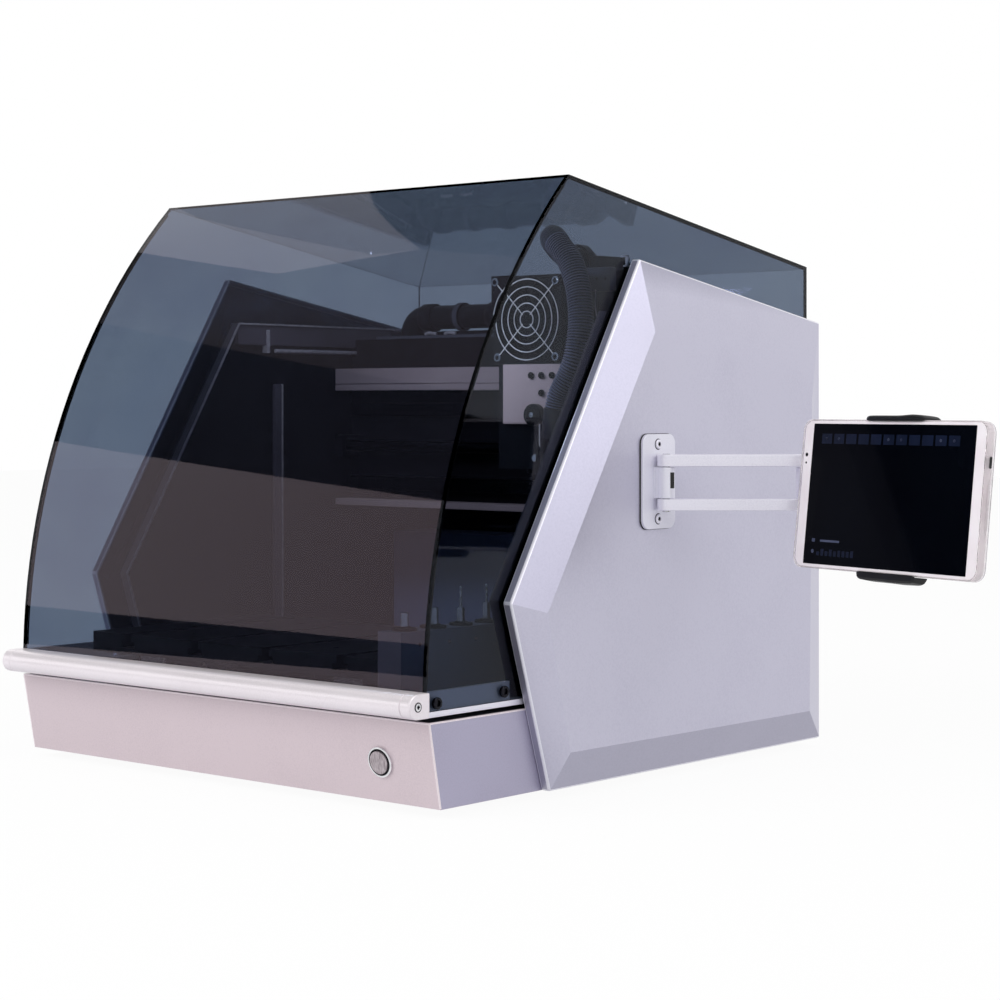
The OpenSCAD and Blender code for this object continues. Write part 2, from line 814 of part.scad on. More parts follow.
// Ridged tube along a route: every second ring is drawn in
module ridged_hose(route, r, ridge, rings, sides) {
    last = len(route) - 1;
    centres = [for (k = [0:rings]) route_at(route, last * k / rings)];
    points = [for (k = [0:rings]) let (
        ahead = unit(centres[min(k + 1, rings)] - centres[max(k - 1, 0)]),
        side = unit(cross(ahead, abs(ahead[2]) > 0.9 ? [0, 1, 0] : [0, 0, 1])),
        over = cross(side, ahead),
        ring_r = k % 2 == 0 ? r : r - ridge)
        for (j = [0:sides - 1]) let (a = 360 * j / sides)
            centres[k] + ring_r * (cos(a) * side + sin(a) * over)];
    walls = [for (k = [0:rings - 1], j = [0:sides - 1]) let (n = (j + 1) % sides)
        each [[k * sides + j, k * sides + n, (k + 1) * sides + n],
            [k * sides + j, (k + 1) * sides + n, (k + 1) * sides + j]]];
    first_cap = [for (j = [0:sides - 1]) sides - 1 - j];
    last_cap = [for (j = [0:sides - 1]) rings * sides + j];
    polyhedron(points, concat([first_cap], walls, [last_cap]), convexity = 8);
}

module front_hose() {
    color("dimgray") at_origin() ridged_hose(front_route, front_hose_r, 1.2, 70, 12);
}

module rear_hose() {
    color("dimgray") at_origin() ridged_hose(rear_route, hose_r, 1.4, 40, 12);
}

// ---- Drive screws ----

module x_screw() {
    color("silver") at_origin()
        bar_along_x(-wall_x + 1, wall_x + wall_t + 16, x_screw_y, x_screw_z, screw_r);
}

module y_screw() {
    color("silver") at_origin() bar_along_y(9, deck_end_y + 16, 0, y_screw_z, screw_r);
}

module z_screw() {
    color("silver") at_origin() bar_along_z(201, 340, head_x, z_screw_y, z_screw_r);
}

// ---- Tablet arm ----

arm_len = norm([elbow_x - pin_x, elbow_y - pin_y]);
arm_turn = atan2(elbow_y - pin_y, elbow_x - pin_x);
arm_r = 7;

// Plate screwed to the side cover with a lug for the arm's pin
module arm_bracket() {
    plate_y = [214.3, 255.5];
    plate_z = [189.2, 262];
    corner = 7.5;
    color("silver") at_origin() difference() {
        union() {
            block([flat_x, plate_y[0] + corner, plate_z[0]],
                [flat_x + 3, plate_y[1] - corner, plate_z[1]]);
            block([flat_x, plate_y[0], plate_z[0] + corner],
                [flat_x + 3, plate_y[1], plate_z[1] - corner]);
            for (y = [plate_y[0] + corner, plate_y[1] - corner],
                z = [plate_z[0] + corner, plate_z[1] - corner])
                bar_along_x(flat_x, flat_x + 3, y, z, corner);
            bar_along_z(213, 236.7, pin_x, pin_y, 6.5);
            block([flat_x + 2, pin_y - 5, 213], [pin_x, pin_y + 5, 236.7]);
        }
        bar_along_z(212, 238, pin_x, pin_y, arm_pin_r);
    }
}

module bracket_screws() {
    color("gainsboro") at_origin()
        for (z = [254.2, 196.9])
            bar_along_x(flat_x + 3, flat_x + 5, 233.5, z, 4.3);
}

module bracket_pin() {
    color("dimgray") at_origin() bar_along_z(202.4, 246.9, pin_x, pin_y, arm_pin_r);
}

// Upper and lower bar with an eye at each end
module arm_bars() {
    color("gainsboro") at_origin() translate([pin_x, pin_y, 0]) rotate([0, 0, arm_turn])
        for (z = [bar_low_z, bar_high_z]) difference() {
            union() {
                for (x = [0, arm_len])
                    bar_along_z(z[0], z[1], x, 0, arm_r);
                block([0, -arm_r, z[0]], [arm_len, arm_r, z[1]]);
            }
            bar_along_z(z[0] - cut, z[1] + cut, 0, 0, arm_pin_r + run_fit);
            bar_along_z(z[0] - cut, z[1] + cut, arm_len, 0, arm_pin_r);
        }
}

module elbow_pin() {
    color("dimgray") at_origin() bar_along_z(203.2, 246.9, elbow_x, elbow_y, arm_pin_r);
}

// The clamp's middle, behind the tablet, on the axis of the link
clamp_x = tablet_x + link_gap * sin(-tablet_yaw);
clamp_y = tablet_y + link_gap * cos(tablet_yaw);
link_len = norm([clamp_x - elbow_x, clamp_y - elbow_y]);
link_turn = atan2(clamp_y - elbow_y, clamp_x - elbow_x);
tilt_pin_r = 4;
boss_half = 13;
module at_elbow() translate([elbow_x, elbow_y, link_z]) rotate([0, 0, link_turn]) children();

module swivel_link() {
    color("gainsboro") at_origin() at_elbow() difference() {
        union() {
            bar_along_z(-11, 12.5, 0, 0, 7);
            bar_along_x(0, link_len - boss_half - 0.4, 0, 0, 6);
            bar_along_x(link_len - boss_half - 1, link_len + boss_half + 3, 0, 0, tilt_pin_r);
        }
        bar_along_z(-12, 14, 0, 0, arm_pin_r + run_fit);
    }
}

// Local frame of the tablet: x along it, z up it, y from its front to its back
module at_tablet()
    translate([tablet_x, tablet_y, tablet_z]) rotate([0, 0, tablet_yaw])
        rotate([-tablet_lean, 0, 0]) children();

tablet_half_v = screen_h / 2 + bezel_v;
jaw_half_w = 30;
jaw_x = 5.5;
jaw_from = jaw_x - jaw_half_w;
jaw_to = jaw_x + jaw_half_w;
jaw_lip = 1.2;
upper_jaw_h = 4.5;
lower_jaw_h = 6.5;
clamp_y0 = tablet_t / 2;

// Boss on the tilt pin, back plate and the fixed lower jaw
module tablet_clamp() {
    color("black") at_origin() {
        difference() {
            union() {
                at_elbow() bar_along_x(link_len - boss_half, link_len + boss_half, 0, 0, 8.5);
                at_tablet() {
                    block([-boss_half, clamp_y0 + 3, -8], [boss_half, 18, 16]);
                    block([-22, clamp_y0, -tablet_half_v], [22, clamp_y0 + 4, tablet_half_v - 14]);
                    block([jaw_from, clamp_y0, -tablet_half_v - lower_jaw_h],
                        [jaw_to, clamp_y0 + 4, -tablet_half_v + 8]);
                    block([jaw_from, -clamp_y0 - 3, -tablet_half_v - lower_jaw_h],
                        [jaw_to, clamp_y0 + 4, -tablet_half_v]);
                    block([jaw_from, -clamp_y0 - 3, -tablet_half_v - lower_jaw_h],
                        [jaw_to, -clamp_y0, -tablet_half_v + jaw_lip]);
                }
            }
            at_elbow() bar_along_x(link_len - boss_half - 1, link_len + boss_half + 1, 0, 0,
                tilt_pin_r + run_fit);
        }
    }
}

// Sprung jaw that slides up to let the tablet go
module upper_jaw() {
    gap = 0.3;
    color("black") at_origin() at_tablet() union() {
        block([-12, clamp_y0 + 4 + gap, 18], [12, clamp_y0 + 8, tablet_half_v + upper_jaw_h]);
        block([jaw_from, -clamp_y0 - 3, tablet_half_v + gap],
            [jaw_to, clamp_y0 + 8, tablet_half_v + upper_jaw_h]);
        block([jaw_from, -clamp_y0 - 3, tablet_half_v - jaw_lip],
            [jaw_to, -clamp_y0 - gap, tablet_half_v + upper_jaw_h]);
    }
}

module tablet_body() {
    half = screen_w / 2;
    corner = 9;
    color("mistyrose") at_origin() at_tablet() difference() {
        rotate([90, 0, 0]) linear_extrude(tablet_t, center = true) union() {
            translate([-half - bezel_left + corner, -tablet_half_v])
                square([screen_w + bezel_left + bezel_right - 2 * corner, 2 * tablet_half_v]);
            translate([-half - bezel_left, -tablet_half_v + corner])
                square([screen_w + bezel_left + bezel_right, 2 * (tablet_half_v - corner)]);
            for (x = [-half - bezel_left + corner, half + bezel_right - corner],
                y = [-tablet_half_v + corner, tablet_half_v - corner])
                translate([x, y]) circle(r = corner, $fn = round_fn);
        }
        block([-half, -clamp_y0 - cut, -screen_h / 2], [half, -clamp_y0 + 1, screen_h / 2]);
    }
}

module tablet_screen() {
    color("black") at_origin() at_tablet()
        block([-screen_w / 2, -clamp_y0, -screen_h / 2],
            [screen_w / 2, -clamp_y0 + 1, screen_h / 2]);
}

base_tub();
feet();
deck_plate();
left_side_cover();
right_side_cover();
inner_walls();
rear_panel();
rear_lower_cover();
side_brackets();
beam_plate();
beam_top_extrusion();
beam_lower_strip();
linear_rails();
drive_motors();
top_tray();
extraction_tube();
power_supply();
control_board();
power_inlet();
button_bezel();
button_cap();
arm_bracket();
bracket_screws();
bracket_pin();
lid_sheet();
lid_side_panels();
lid_bar();
bar_end_caps();
lid_side_rails();
lid_screws();
bed_plate();
bed_blocks();
tool_magazine();
stored_cutters();
x_plate();
x_blocks();
z_motor();
z_plate();
head_block();
spindle_body();
fan_box();
fan_frame();
fan_grille();
head_trim_plate();
head_screws();
hose_socket();
front_hose();
rear_hose();
spindle_shaft();
fan_rotor();
x_screw();
y_screw();
z_screw();
arm_bars();
elbow_pin();
swivel_link();
tablet_clamp();
upper_jaw();
tablet_body();
tablet_screen();
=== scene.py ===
from math import asin, atan, cos, exp, hypot, pi, radians, sin, sqrt, tau

import bmesh
import bpy
from mathutils import Matrix, Vector


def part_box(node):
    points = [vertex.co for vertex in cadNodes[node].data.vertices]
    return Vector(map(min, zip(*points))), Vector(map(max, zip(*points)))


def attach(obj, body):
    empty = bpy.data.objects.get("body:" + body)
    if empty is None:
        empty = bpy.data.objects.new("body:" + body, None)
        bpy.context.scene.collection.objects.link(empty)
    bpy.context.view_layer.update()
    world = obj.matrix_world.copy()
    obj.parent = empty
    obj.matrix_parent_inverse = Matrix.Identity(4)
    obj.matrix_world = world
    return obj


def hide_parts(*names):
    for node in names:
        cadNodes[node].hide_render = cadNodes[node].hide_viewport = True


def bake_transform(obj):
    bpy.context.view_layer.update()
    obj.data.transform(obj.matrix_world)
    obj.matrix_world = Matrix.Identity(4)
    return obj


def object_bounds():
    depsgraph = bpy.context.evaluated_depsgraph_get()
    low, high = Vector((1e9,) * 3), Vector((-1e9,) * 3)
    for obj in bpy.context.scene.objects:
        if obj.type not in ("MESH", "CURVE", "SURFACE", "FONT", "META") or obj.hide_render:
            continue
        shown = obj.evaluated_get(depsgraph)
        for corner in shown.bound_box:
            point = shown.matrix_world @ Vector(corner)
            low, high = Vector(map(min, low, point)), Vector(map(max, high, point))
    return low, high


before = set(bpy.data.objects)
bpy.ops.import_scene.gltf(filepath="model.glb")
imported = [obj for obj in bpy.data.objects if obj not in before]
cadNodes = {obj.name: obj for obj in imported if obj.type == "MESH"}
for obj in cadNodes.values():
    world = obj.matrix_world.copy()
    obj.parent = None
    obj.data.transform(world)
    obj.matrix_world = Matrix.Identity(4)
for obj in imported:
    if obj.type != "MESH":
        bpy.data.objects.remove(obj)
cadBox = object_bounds()
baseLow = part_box("base_tub")[0]
print("frame loaded with", len(cadNodes), "parts")


# Drawing millimetres to the frame's metres: y from the front edge of the base, z from its underside
def spot(x, y, z):
    return Vector((x / 1000, baseLow.y + y / 1000, baseLow.z + z / 1000))


# Puts an object with its data into the scene
def addObject(name, data):
    thing = bpy.data.objects.new(name, data)
    bpy.context.scene.collection.objects.link(thing)
    return thing


# Camera first, so that it stands before any piece is made
cameraSetup = {
    "place": (1308.3, -1176.7, 284.3),  # drawing millimetres
    "turn": 40.79,                      # degrees round to the right of the front
    "lens": 82.4,                       # mm on a 36 mm sensor
    "rise": -0.095,                     # small upright shift that lowers the frame
}

camera = addObject("viewCamera", bpy.data.cameras.new("viewCamera"))
camera.location = spot(*cameraSetup["place"])
camera.rotation_euler = (radians(90), 0, radians(cameraSetup["turn"]))
camera.data.lens = cameraSetup["lens"]
camera.data.sensor_width = 36
camera.data.shift_y = cameraSetup["rise"]
camera.data.clip_start = 0.05
camera.data.clip_end = 30
bpy.context.scene.camera = camera
bpy.context.scene.view_settings.view_transform = "Standard"
print("camera placed")


# sRGB hex to linear, with full alpha
def toLinear(hexColour):
    parts = [int(hexColour[i:i + 2], 16) / 255 for i in (1, 3, 5)]
    return tuple(c / 12.92 if c <= 0.04045 else ((c + 0.055) / 1.055) ** 2.4 for c in parts) + (1.0,)


# Adds a node: lower-case keys are its settings, the others are its sockets, and stops are a ramp's shades
def addNode(tree, kind, settings=None, links=None, stops=()):
    node = tree.nodes.new("ShaderNode" + kind)
    for key, value in (settings or {}).items():
        if isinstance(key, str) and key[0].islower():
            setattr(node, key, value)
        else:
            node.inputs[key].default_value = value
    for key, source in (links or {}).items():
        tree.links.new(source, node.inputs[key])
    for k, (place, shade) in enumerate(stops):
        node.color_ramp.elements[k].position = place
        node.color_ramp.elements[k].color = toLinear(shade)
    return node


# An empty material with its output node
def newMaterial(name):
    material = bpy.data.materials.new(name)
    material.use_nodes = True
    material.node_tree.nodes.clear()
    return material, material.node_tree, addNode(material.node_tree, "OutputMaterial")


# Noise whose grain has a real size in millimetres, stretched along the given axes
def grainOf(tree, sizeMm, detail=3, stretch=(1, 1, 1)):
    where = addNode(tree, "TexCoord")
    scaled = addNode(tree, "Mapping", {"Scale": stretch}, {"Vector": where.outputs["Object"]})
    return addNode(tree, "TexNoise", {"Scale": 1000 / sizeMm, "Detail": detail},
                   {"Vector": scaled.outputs["Vector"]}).outputs["Fac"]


# The surface that a material ends in: one pattern picks its shade, one its roughness, one raises its relief
def addSurface(tree, out, look, shadeBy, roughBy, reliefBy, settings):
    between = look.get("between", (0.3, 0.7))
    shade = addNode(tree, "ValToRGB", links={"Fac": shadeBy}, stops=zip(between, look["shades"]))
    smooth, rough = look["roughness"]
    polish = addNode(tree, "MapRange", {"To Min": smooth, "To Max": rough}, {"Value": roughBy})
    shader = addNode(tree, "BsdfPrincipled", settings,
                     {"Base Color": shade.outputs["Color"], "Roughness": polish.outputs["Result"]})
    if reliefBy is not None:
        relief = addNode(tree, "Bump",
                         {"Strength": look.get("relief", 1.0), "Distance": look["depthMm"] / 1000},
                         {"Height": reliefBy})
        tree.links.new(relief.outputs["Normal"], shader.inputs["Normal"])
    tree.links.new(shader.outputs[0], out.inputs["Surface"])
    return shader


# Sprayed, blasted or powder coated metal: flakes or grit in the colour, orange peel in the surface
def coatedMetal(name, look):
    material, tree, out = newMaterial(name)
    look = {"between": (0.35, 0.75), **look}
    cloud = grainOf(tree, 60, 2)
    fleck = addNode(tree, "Math", {"operation": "MULTIPLY_ADD", 1: 0.6, 2: 0.2},
                    {0: grainOf(tree, look["fleckMm"], 2)})
    both = addNode(tree, "Math", {"operation": "MULTIPLY_ADD", 1: 0.4},
                   {0: cloud, 2: fleck.outputs[0]}).outputs[0]
    shader = addSurface(tree, out, look, both, cloud, grainOf(tree, look["peelMm"], 1), {
        "Metallic": look["metallic"], "Coat Weight": look.get("coat", 0.0), "Coat Roughness": 0.25,
        "Specular IOR Level": look.get("specular", 0.5),
    })
    if "paintedFaceLighting" in look:  # painted light and shade: faces that look one way take their own shades, darker or lighter, for how light falls on them
        axis, start, end, dark, light = look["paintedFaceLighting"]
        facing = addNode(tree, "TexCoord").outputs["Normal"]
        facing = addNode(tree, "SeparateXYZ", links={0: facing}).outputs[axis]
        facing = addNode(tree, "Math", {"operation": "ABSOLUTE"}, {0: facing}).outputs[0]
        share = addNode(tree, "MapRange", {"From Min": start, "From Max": end}, {"Value": facing})
        paintedTones = addNode(tree, "ValToRGB", links={"Fac": both},
                        stops=zip(look["between"], (dark, light)))
        shades = shader.inputs["Base Color"].links[0].from_socket
        blend = addNode(tree, "Mix", {"data_type": "RGBA"},
                        {0: share.outputs[0], 6: shades, 7: paintedTones.outputs[0]})
        tree.links.new(blend.outputs[2], shader.inputs["Base Color"])
    return material


# Metal with fine lines along one direction, from a belt or a lathe
def linedMetal(name, look):
    material, tree, out = newMaterial(name)
    lines = grainOf(tree, look["lineMm"], 4, look.get("stretch", (1, 1, 1)))
    worn = addNode(tree, "Math", {"operation": "MULTIPLY"}, {0: lines, 1: grainOf(tree, 45, 2)})
    addSurface(tree, out, look, lines, worn.outputs[0], lines, {"Metallic": look.get("metallic", 1.0)})
    return material


# Moulded plastic and rubber: spark-eroded mould texture and a faint cloud of colour
def mouldedPlastic(name, look):
    material, tree, out = newMaterial(name)
    grit = grainOf(tree, look["gritMm"], 2)
    addSurface(tree, out, look, grainOf(tree, 25, 2), grit, grit, {
        "IOR": 1.5, "Coat Weight": look.get("coat", 0.0), "Coat Roughness": 0.1,
        "Specular IOR Level": look.get("specular", 0.5),
    })
    return material


# Glass, acrylic and silicone: a faint smear on the face, a slow wave in it, a tint through its thickness
def clearMaterial(name, look):
    material, tree, out = newMaterial(name)
    smear = grainOf(tree, look["smearMm"], look["smearDetail"])
    wave = grainOf(tree, look["waveMm"], 0) if "waveMm" in look else None
    addSurface(tree, out, look, smear, smear, wave, {
        "IOR": look["ior"], "Transmission Weight": look["through"],
        "Specular Tint": toLinear(look.get("gloss", "#FFFFFF")),
        "Specular IOR Level": look.get("specular", 0.5),
    })
    if "tint" in look:
        smoke = addNode(tree, "VolumeAbsorption",
                        {"Color": toLinear(look["tint"]), "Density": look["density"]})
        tree.links.new(smoke.outputs[0], out.inputs["Volume"])
    return material


# What each process leaves on a surface. Real flake and grit are about 0.1 mm, drawn coarser so that they show
paint = {"fleckMm": 1.6, "peelMm": 2.5, "coat": 0.2}
powder = {"metallic": 0.0, "roughness": (0.45, 0.65), "fleckMm": 1.5, "peelMm": 1.2, "depthMm": 0.03,
          "specular": 0.35}
blasted = {"metallic": 0.35, "roughness": (0.36, 0.5), "fleckMm": 1.0, "peelMm": 0.9, "depthMm": 0.006}
anodised = {**blasted, "metallic": 0.2, "roughness": (0.4, 0.5), "depthMm": 0.008}
ground = {"lineMm": 0.8, "stretch": (0.3, 0.3, 1)}
moulded = {"gritMm": 0.8, "depthMm": 0.02, "roughness": (0.4, 0.55)}
extruded = {"gritMm": 1.0, "depthMm": 0.01, "roughness": (0.3, 0.45)}
screenInk = {"gritMm": 3, "depthMm": 0.0, "roughness": (0.15, 0.2), "specular": 0.1}
acrylic = {
    "ior": 1.49, "through": 1.0, "between": (0.2, 0.6), "roughness": (0.0, 0.03),
    "smearMm": 90, "smearDetail": 3, "waveMm": 220, "depthMm": 0.25, "relief": 0.4,
    "tint": "#276895", "density": 322,  # 3 mm lets through about two fifths, and more of the blue
}

coverPaint = coatedMetal("pearlSilverPaint", {  # sprayed two-coat paint: fine flake that lifts in the light
    **paint, "shades": ("#BAB8CB", "#C6C4D5"), "metallic": 0.6, "roughness": (0.32, 0.45),
    # painted shade: faces turned up or down take the darker shades given here
    "depthMm": 0.01, "paintedFaceLighting": ("Z", 0.15, 0.22, "#A2A0B3", "#AEACBE"),
})
coverEdgeHighlight = coatedMetal("paintedEdgeHighlight", {  # painted highlight: a brighter paint on the rounded folds, for the light they catch
    **paint, "shades": ("#E2E1EC", "#F0EFF8"), "metallic": 0.3, "roughness": (0.25, 0.35),
    "depthMm": 0.006,
})
baseFinish = coatedMetal("blastedRoseAluminium", {  # bead blasted and anodised: soft, warm silver
    **blasted, "shades": ("#CEBFC5", "#DCCDD2"), "metallic": 0.4, "fleckMm": 1.2, "peelMm": 1.0,
    # painted shade: the sides, facing x, take darker, bluer shades than the front
    "depthMm": 0.012, "paintedFaceLighting": ("X", 0.75, 0.95, "#A5A0B6", "#B2AEC4"),
})
baseEdgeHighlight = coatedMetal("paintedBaseEdgeHighlight", {  # painted highlight: a brighter shade for the base's rounded edges, for the light they catch
    **blasted, "shades": ("#E9DCE0", "#F6EBEE"), "roughness": (0.25, 0.35), "fleckMm": 1.2, "peelMm": 1.0,
})
blackCoat = coatedMetal("blackPowderCoat", {  # baked powder: matt black with a fine pebble
    **powder, "shades": ("#0B0B10", "#17171E"), "roughness": (0.45, 0.7),
})
greyCoat = coatedMetal("greyPowderCoat", {  # baked powder on the tray and brackets: dark slate, matt
    **powder, "shades": ("#2E2F38", "#3C3D47"),
})
rearCoat = coatedMetal("slatePowderCoat", {  # the rear cover's coat: blue-grey, matt
    **powder, "shades": ("#535D80", "#667094"),
})
wallCoat = coatedMetal("darkWallCoat", {  # textured powder on the inner walls: nearly black, a little blue
    **powder, "shades": ("#060609", "#0D0C11"), "roughness": (0.4, 0.6), "peelMm": 1.4, "specular": 0.12,
})
magazineCoat = coatedMetal("slateCoatPaintedFaceLight", {  # slate on the magazine's sides; its front and back take warmer, lighter shades, painted light
    **powder, "shades": ("#454C5E", "#555D70"), "roughness": (0.4, 0.55), "depthMm": 0.02,
    "specular": 0.12, "paintedFaceLighting": ("Y", 0.6, 0.9, "#8C7F89", "#9C8F99"),
})
foldedFace = coatedMetal("dimFoldedFace", {  # thin coat on the folded edge: bare metal shows as dim grey
    **powder, "shades": ("#3A3640", "#4B4651"), "metallic": 0.3, "roughness": (0.4, 0.55),
    "peelMm": 1.4, "depthMm": 0.02, "specular": 0.5,
})
guardWire = coatedMetal("galvanisedWire", {  # dipped wire: pale, dry silver
    **blasted, "shades": ("#DADAE2", "#F2F2F8"), "metallic": 0.3, "roughness": (0.25, 0.4),
    "peelMm": 1.0, "depthMm": 0.005,
})
blackAnodised = coatedMetal("blackAnodisedAluminium", {  # blasted, then dyed black: a dry sheen of bare metal
    **blasted, "shades": ("#0D0D12", "#181820"), "metallic": 0.5, "roughness": (0.4, 0.55),
    "peelMm": 0.8, "depthMm": 0.01,
})
satinBar = coatedMetal("blastedBarAluminium", {  # blasted, clear anodised: bright, a soft streak of light
    **blasted, "shades": ("#E6DDE1", "#F2EBEF"), "roughness": (0.26, 0.36),
})
satinArm = coatedMetal("blastedArmAluminium", {  # the same process on the arm: pale, slightly blue silver
    **blasted, "shades": ("#DFDDEA", "#EFEDF7"), "roughness": (0.32, 0.45),
})
satinBracket = coatedMetal("blastedBracketAluminium", {  # a duller blast on the bracket's plate
    **blasted, "shades": ("#DEDDEA", "#ECEBF5"), "metallic": 0.3, "depthMm": 0.008,
})
clearAnodised = coatedMetal("clearAnodisedAluminium", {  # extruded and anodised: dry silver, a little warm
    **anodised, "shades": ("#AE9BA0", "#C4B1B6"),
})
beamFinish = coatedMetal("darkerAnodisedAluminium", {  # the same extrusion in darker shades: dull, a little warm
    **anodised, "shades": ("#776A70", "#887B81"),
})
milledAluminium = linedMetal("milledAluminium", {  # machined plate: short cutter lines in every direction
    "shades": ("#B9B4B8", "#DEDADD"), "lineMm": 1.0, "stretch": (1, 1, 0.08),
    "roughness": (0.28, 0.6), "depthMm": 0.008,
})
turnedCap = linedMetal("brushedSteelCap", {  # brushed stainless cap: fine upright lines, duller than its ring
    "shades": ("#82787D", "#C6BCC0"), "lineMm": 0.9, "stretch": (1, 1, 0.12), "metallic": 0.7,
    "roughness": (0.25, 0.5), "depthMm": 0.01,
})
groundSteel = linedMetal("groundSteel", {  # cylindrical grinding leaves rings round the part
    **ground, "shades": ("#8D8D93", "#D2D2D6"), "roughness": (0.16, 0.4), "depthMm": 0.005,
})
cutterSteel = linedMetal("toolSteel", {  # hardened and ground: dark mirror with faint rings
    **ground, "shades": ("#85858D", "#B6B6BE"), "roughness": (0.04, 0.1), "depthMm": 0.003,
})
chromePlate = linedMetal("polishedChrome", {  # polished and plated: bright, with faint wipe marks
    "shades": ("#C9C9CE", "#F2F2F4"), "lineMm": 6, "roughness": (0.06, 0.2), "depthMm": 0.002,
})
blackOxide = linedMetal("blackOxideSteel", {  # hot blackened screws: oily black with worn grey spots
    "shades": ("#0D0D10", "#2C2C33"), "lineMm": 0.8, "roughness": (0.25, 0.5), "depthMm": 0.01,
})
dullAluminium = linedMetal("bareFoldedEdge", {  # sheared edge of folded sheet: dull, unpolished
    "shades": ("#8F8A94", "#B4AFB8"), "lineMm": 1.0, "stretch": (1, 0.2, 0.2), "metallic": 0.5,
    "roughness": (0.45, 0.7), "depthMm": 0.01,
})
blackPlastic = mouldedPlastic("blackMouldedNylon", {  # injection moulded: even black, fine spark texture
    **moulded, "shades": ("#08080B", "#101015"), "roughness": (0.4, 0.6), "specular": 0.3,
})
slatePlastic = mouldedPlastic("slateMouldedPlastic", {  # moulded sensor housing: blue-grey, satin
    **moulded, "shades": ("#2A2C3A", "#363A4A"),
})
collarPlastic = mouldedPlastic("blackAcetal", {  # turned acetal collars: dull black
    **moulded, "shades": ("#050507", "#0B0B0E"), "depthMm": 0.01, "roughness": (0.5, 0.7), "specular": 0.06,
})
boardResin = mouldedPlastic("greenBoardResin", {  # solder mask over glass cloth
    **moulded, "shades": ("#0F4025", "#1B5B35"), "gritMm": 0.6, "roughness": (0.3, 0.45),
})
hosePlastic = mouldedPlastic("slatePvcHose", {  # extruded flexible hose: slate grey, slightly waxy
    **extruded, "shades": ("#0F111E", "#191C2E"), "roughness": (0.38, 0.55),
})
hoseRidge = mouldedPlastic("slatePvcRidge", {  # the hose's wound rib, rubbed paler on its crests
    **extruded, "shades": ("#555973", "#6C708B"),
})
whiteWire = mouldedPlastic("whiteWireInsulation", {  # extruded insulation: slightly glossy white
    **extruded, "shades": ("#C9C6CC", "#E2DFE4"), "depthMm": 0.005, "roughness": (0.3, 0.4),
})
softRubber = mouldedPlastic("blackRubber", {  # moulded rubber: dull, dusty black
    "shades": ("#141414", "#232323"), "gritMm": 1.0, "depthMm": 0.03, "roughness": (0.7, 0.9),
})
tabletShellFinish = mouldedPlastic("roseWhiteTabletShell", {  # painted bezel under glass: smooth rose white
    "shades": ("#F8EFF2", "#FEF8FA"), "gritMm": 1.5, "depthMm": 0.002, "roughness": (0.18, 0.28),
    "coat": 0.5,
})
screenFaint = mouldedPlastic("screenFieldDim", {  # lit dots behind the glass: dim slate blue
    **screenInk, "shades": ("#0E1424", "#161D33"),
})
screenBright = mouldedPlastic("screenFieldLit", {  # brighter marks behind the glass: pale slate
    **screenInk, "shades": ("#3C4258", "#50566D"),
})
coverAcrylic = clearMaterial("smokedCastAcrylic", {  # cast sheet, smoke tinted: cut edges are nearly black
    **acrylic, "shades": ("#F4F2F6", "#FFFFFF"), "gloss": "#ECCBD9",
})
sideAcrylic = clearMaterial("smokedSideAcrylic", {  # the same sheet, less polished: it throws less light back
    **acrylic, "shades": ("#F2F4FA", "#FFFFFF"), "gloss": "#5A6078",
})
screenGlass = clearMaterial("darkDisplayGlass", {  # coated display glass: dark navy with a slow glow
    "shades": ("#010104", "#04060C"), "gloss": "#1C2236", "specular": 0.12, "ior": 1.52, "through": 0.0,
    "roughness": (0.05, 0.12), "smearMm": 120, "smearDetail": 1,
})
clearSilicone = clearMaterial("clearSilicone", {  # clear moulded silicone: soft gloss, faint milkiness
    "shades": ("#E9E4E7", "#F8F4F6"), "ior": 1.41, "through": 0.85, "roughness": (0.12, 0.25),
    "smearMm": 12, "smearDetail": 2,
})
print("materials made")

# Directions, and the ways that a flat plate can face: across, up, and the way its thickness goes
toRight, toBack, toTop = (1, 0, 0), (0, 1, 0), (0, 0, 1)
toFront, toFloor = (0, -1, 0), (0, 0, -1)
facingFront = (toRight, toTop, toFront)
facingBack = (toRight, toTop, toBack)
facingRight = (toBack, toTop, toRight)
facingUp = (toRight, toBack, toTop)


# Shapes are points and faces in drawing millimetres. Rings of points join into a skin
def skinOf(rings, closed=False):
    around = len(rings[0])
    points = [point for ring in rings for point in ring]
    count = len(rings)
    faces = []
    for i in range(count if closed else count - 1):
        for k in range(around):
            n, below, above = (k + 1) % around, i * around, (i + 1) % count * around
            faces.append((below + k, below + n, above + n, above + k))
    if not closed:
        faces.append(tuple(reversed(range(around))))
        faces.append(tuple((count - 1) * around + k for k in range(around)))
    return points, faces


# Turned part: rows are (distance along the axis, radius), and a third entry gives that many flats
def turnedShape(rows, place, axis, steps=36, closed=False):
    along = Vector(axis).normalized()
    side = along.orthogonal().normalized()
    over = along.cross(side)
    rings = []
    for row in rows:
        ring = []
        for k in range(steps):
            angle = tau * k / steps
            reach = row[1]
            if len(row) > 2:
                wedge = tau / row[2]
                reach /= cos((angle + wedge / 2) % wedge - wedge / 2)
            ring.append(Vector(place) + along * row[0]
                        + (side * cos(angle) + over * sin(angle)) * reach)
        rings.append(ring)
    return skinOf(rings, closed)


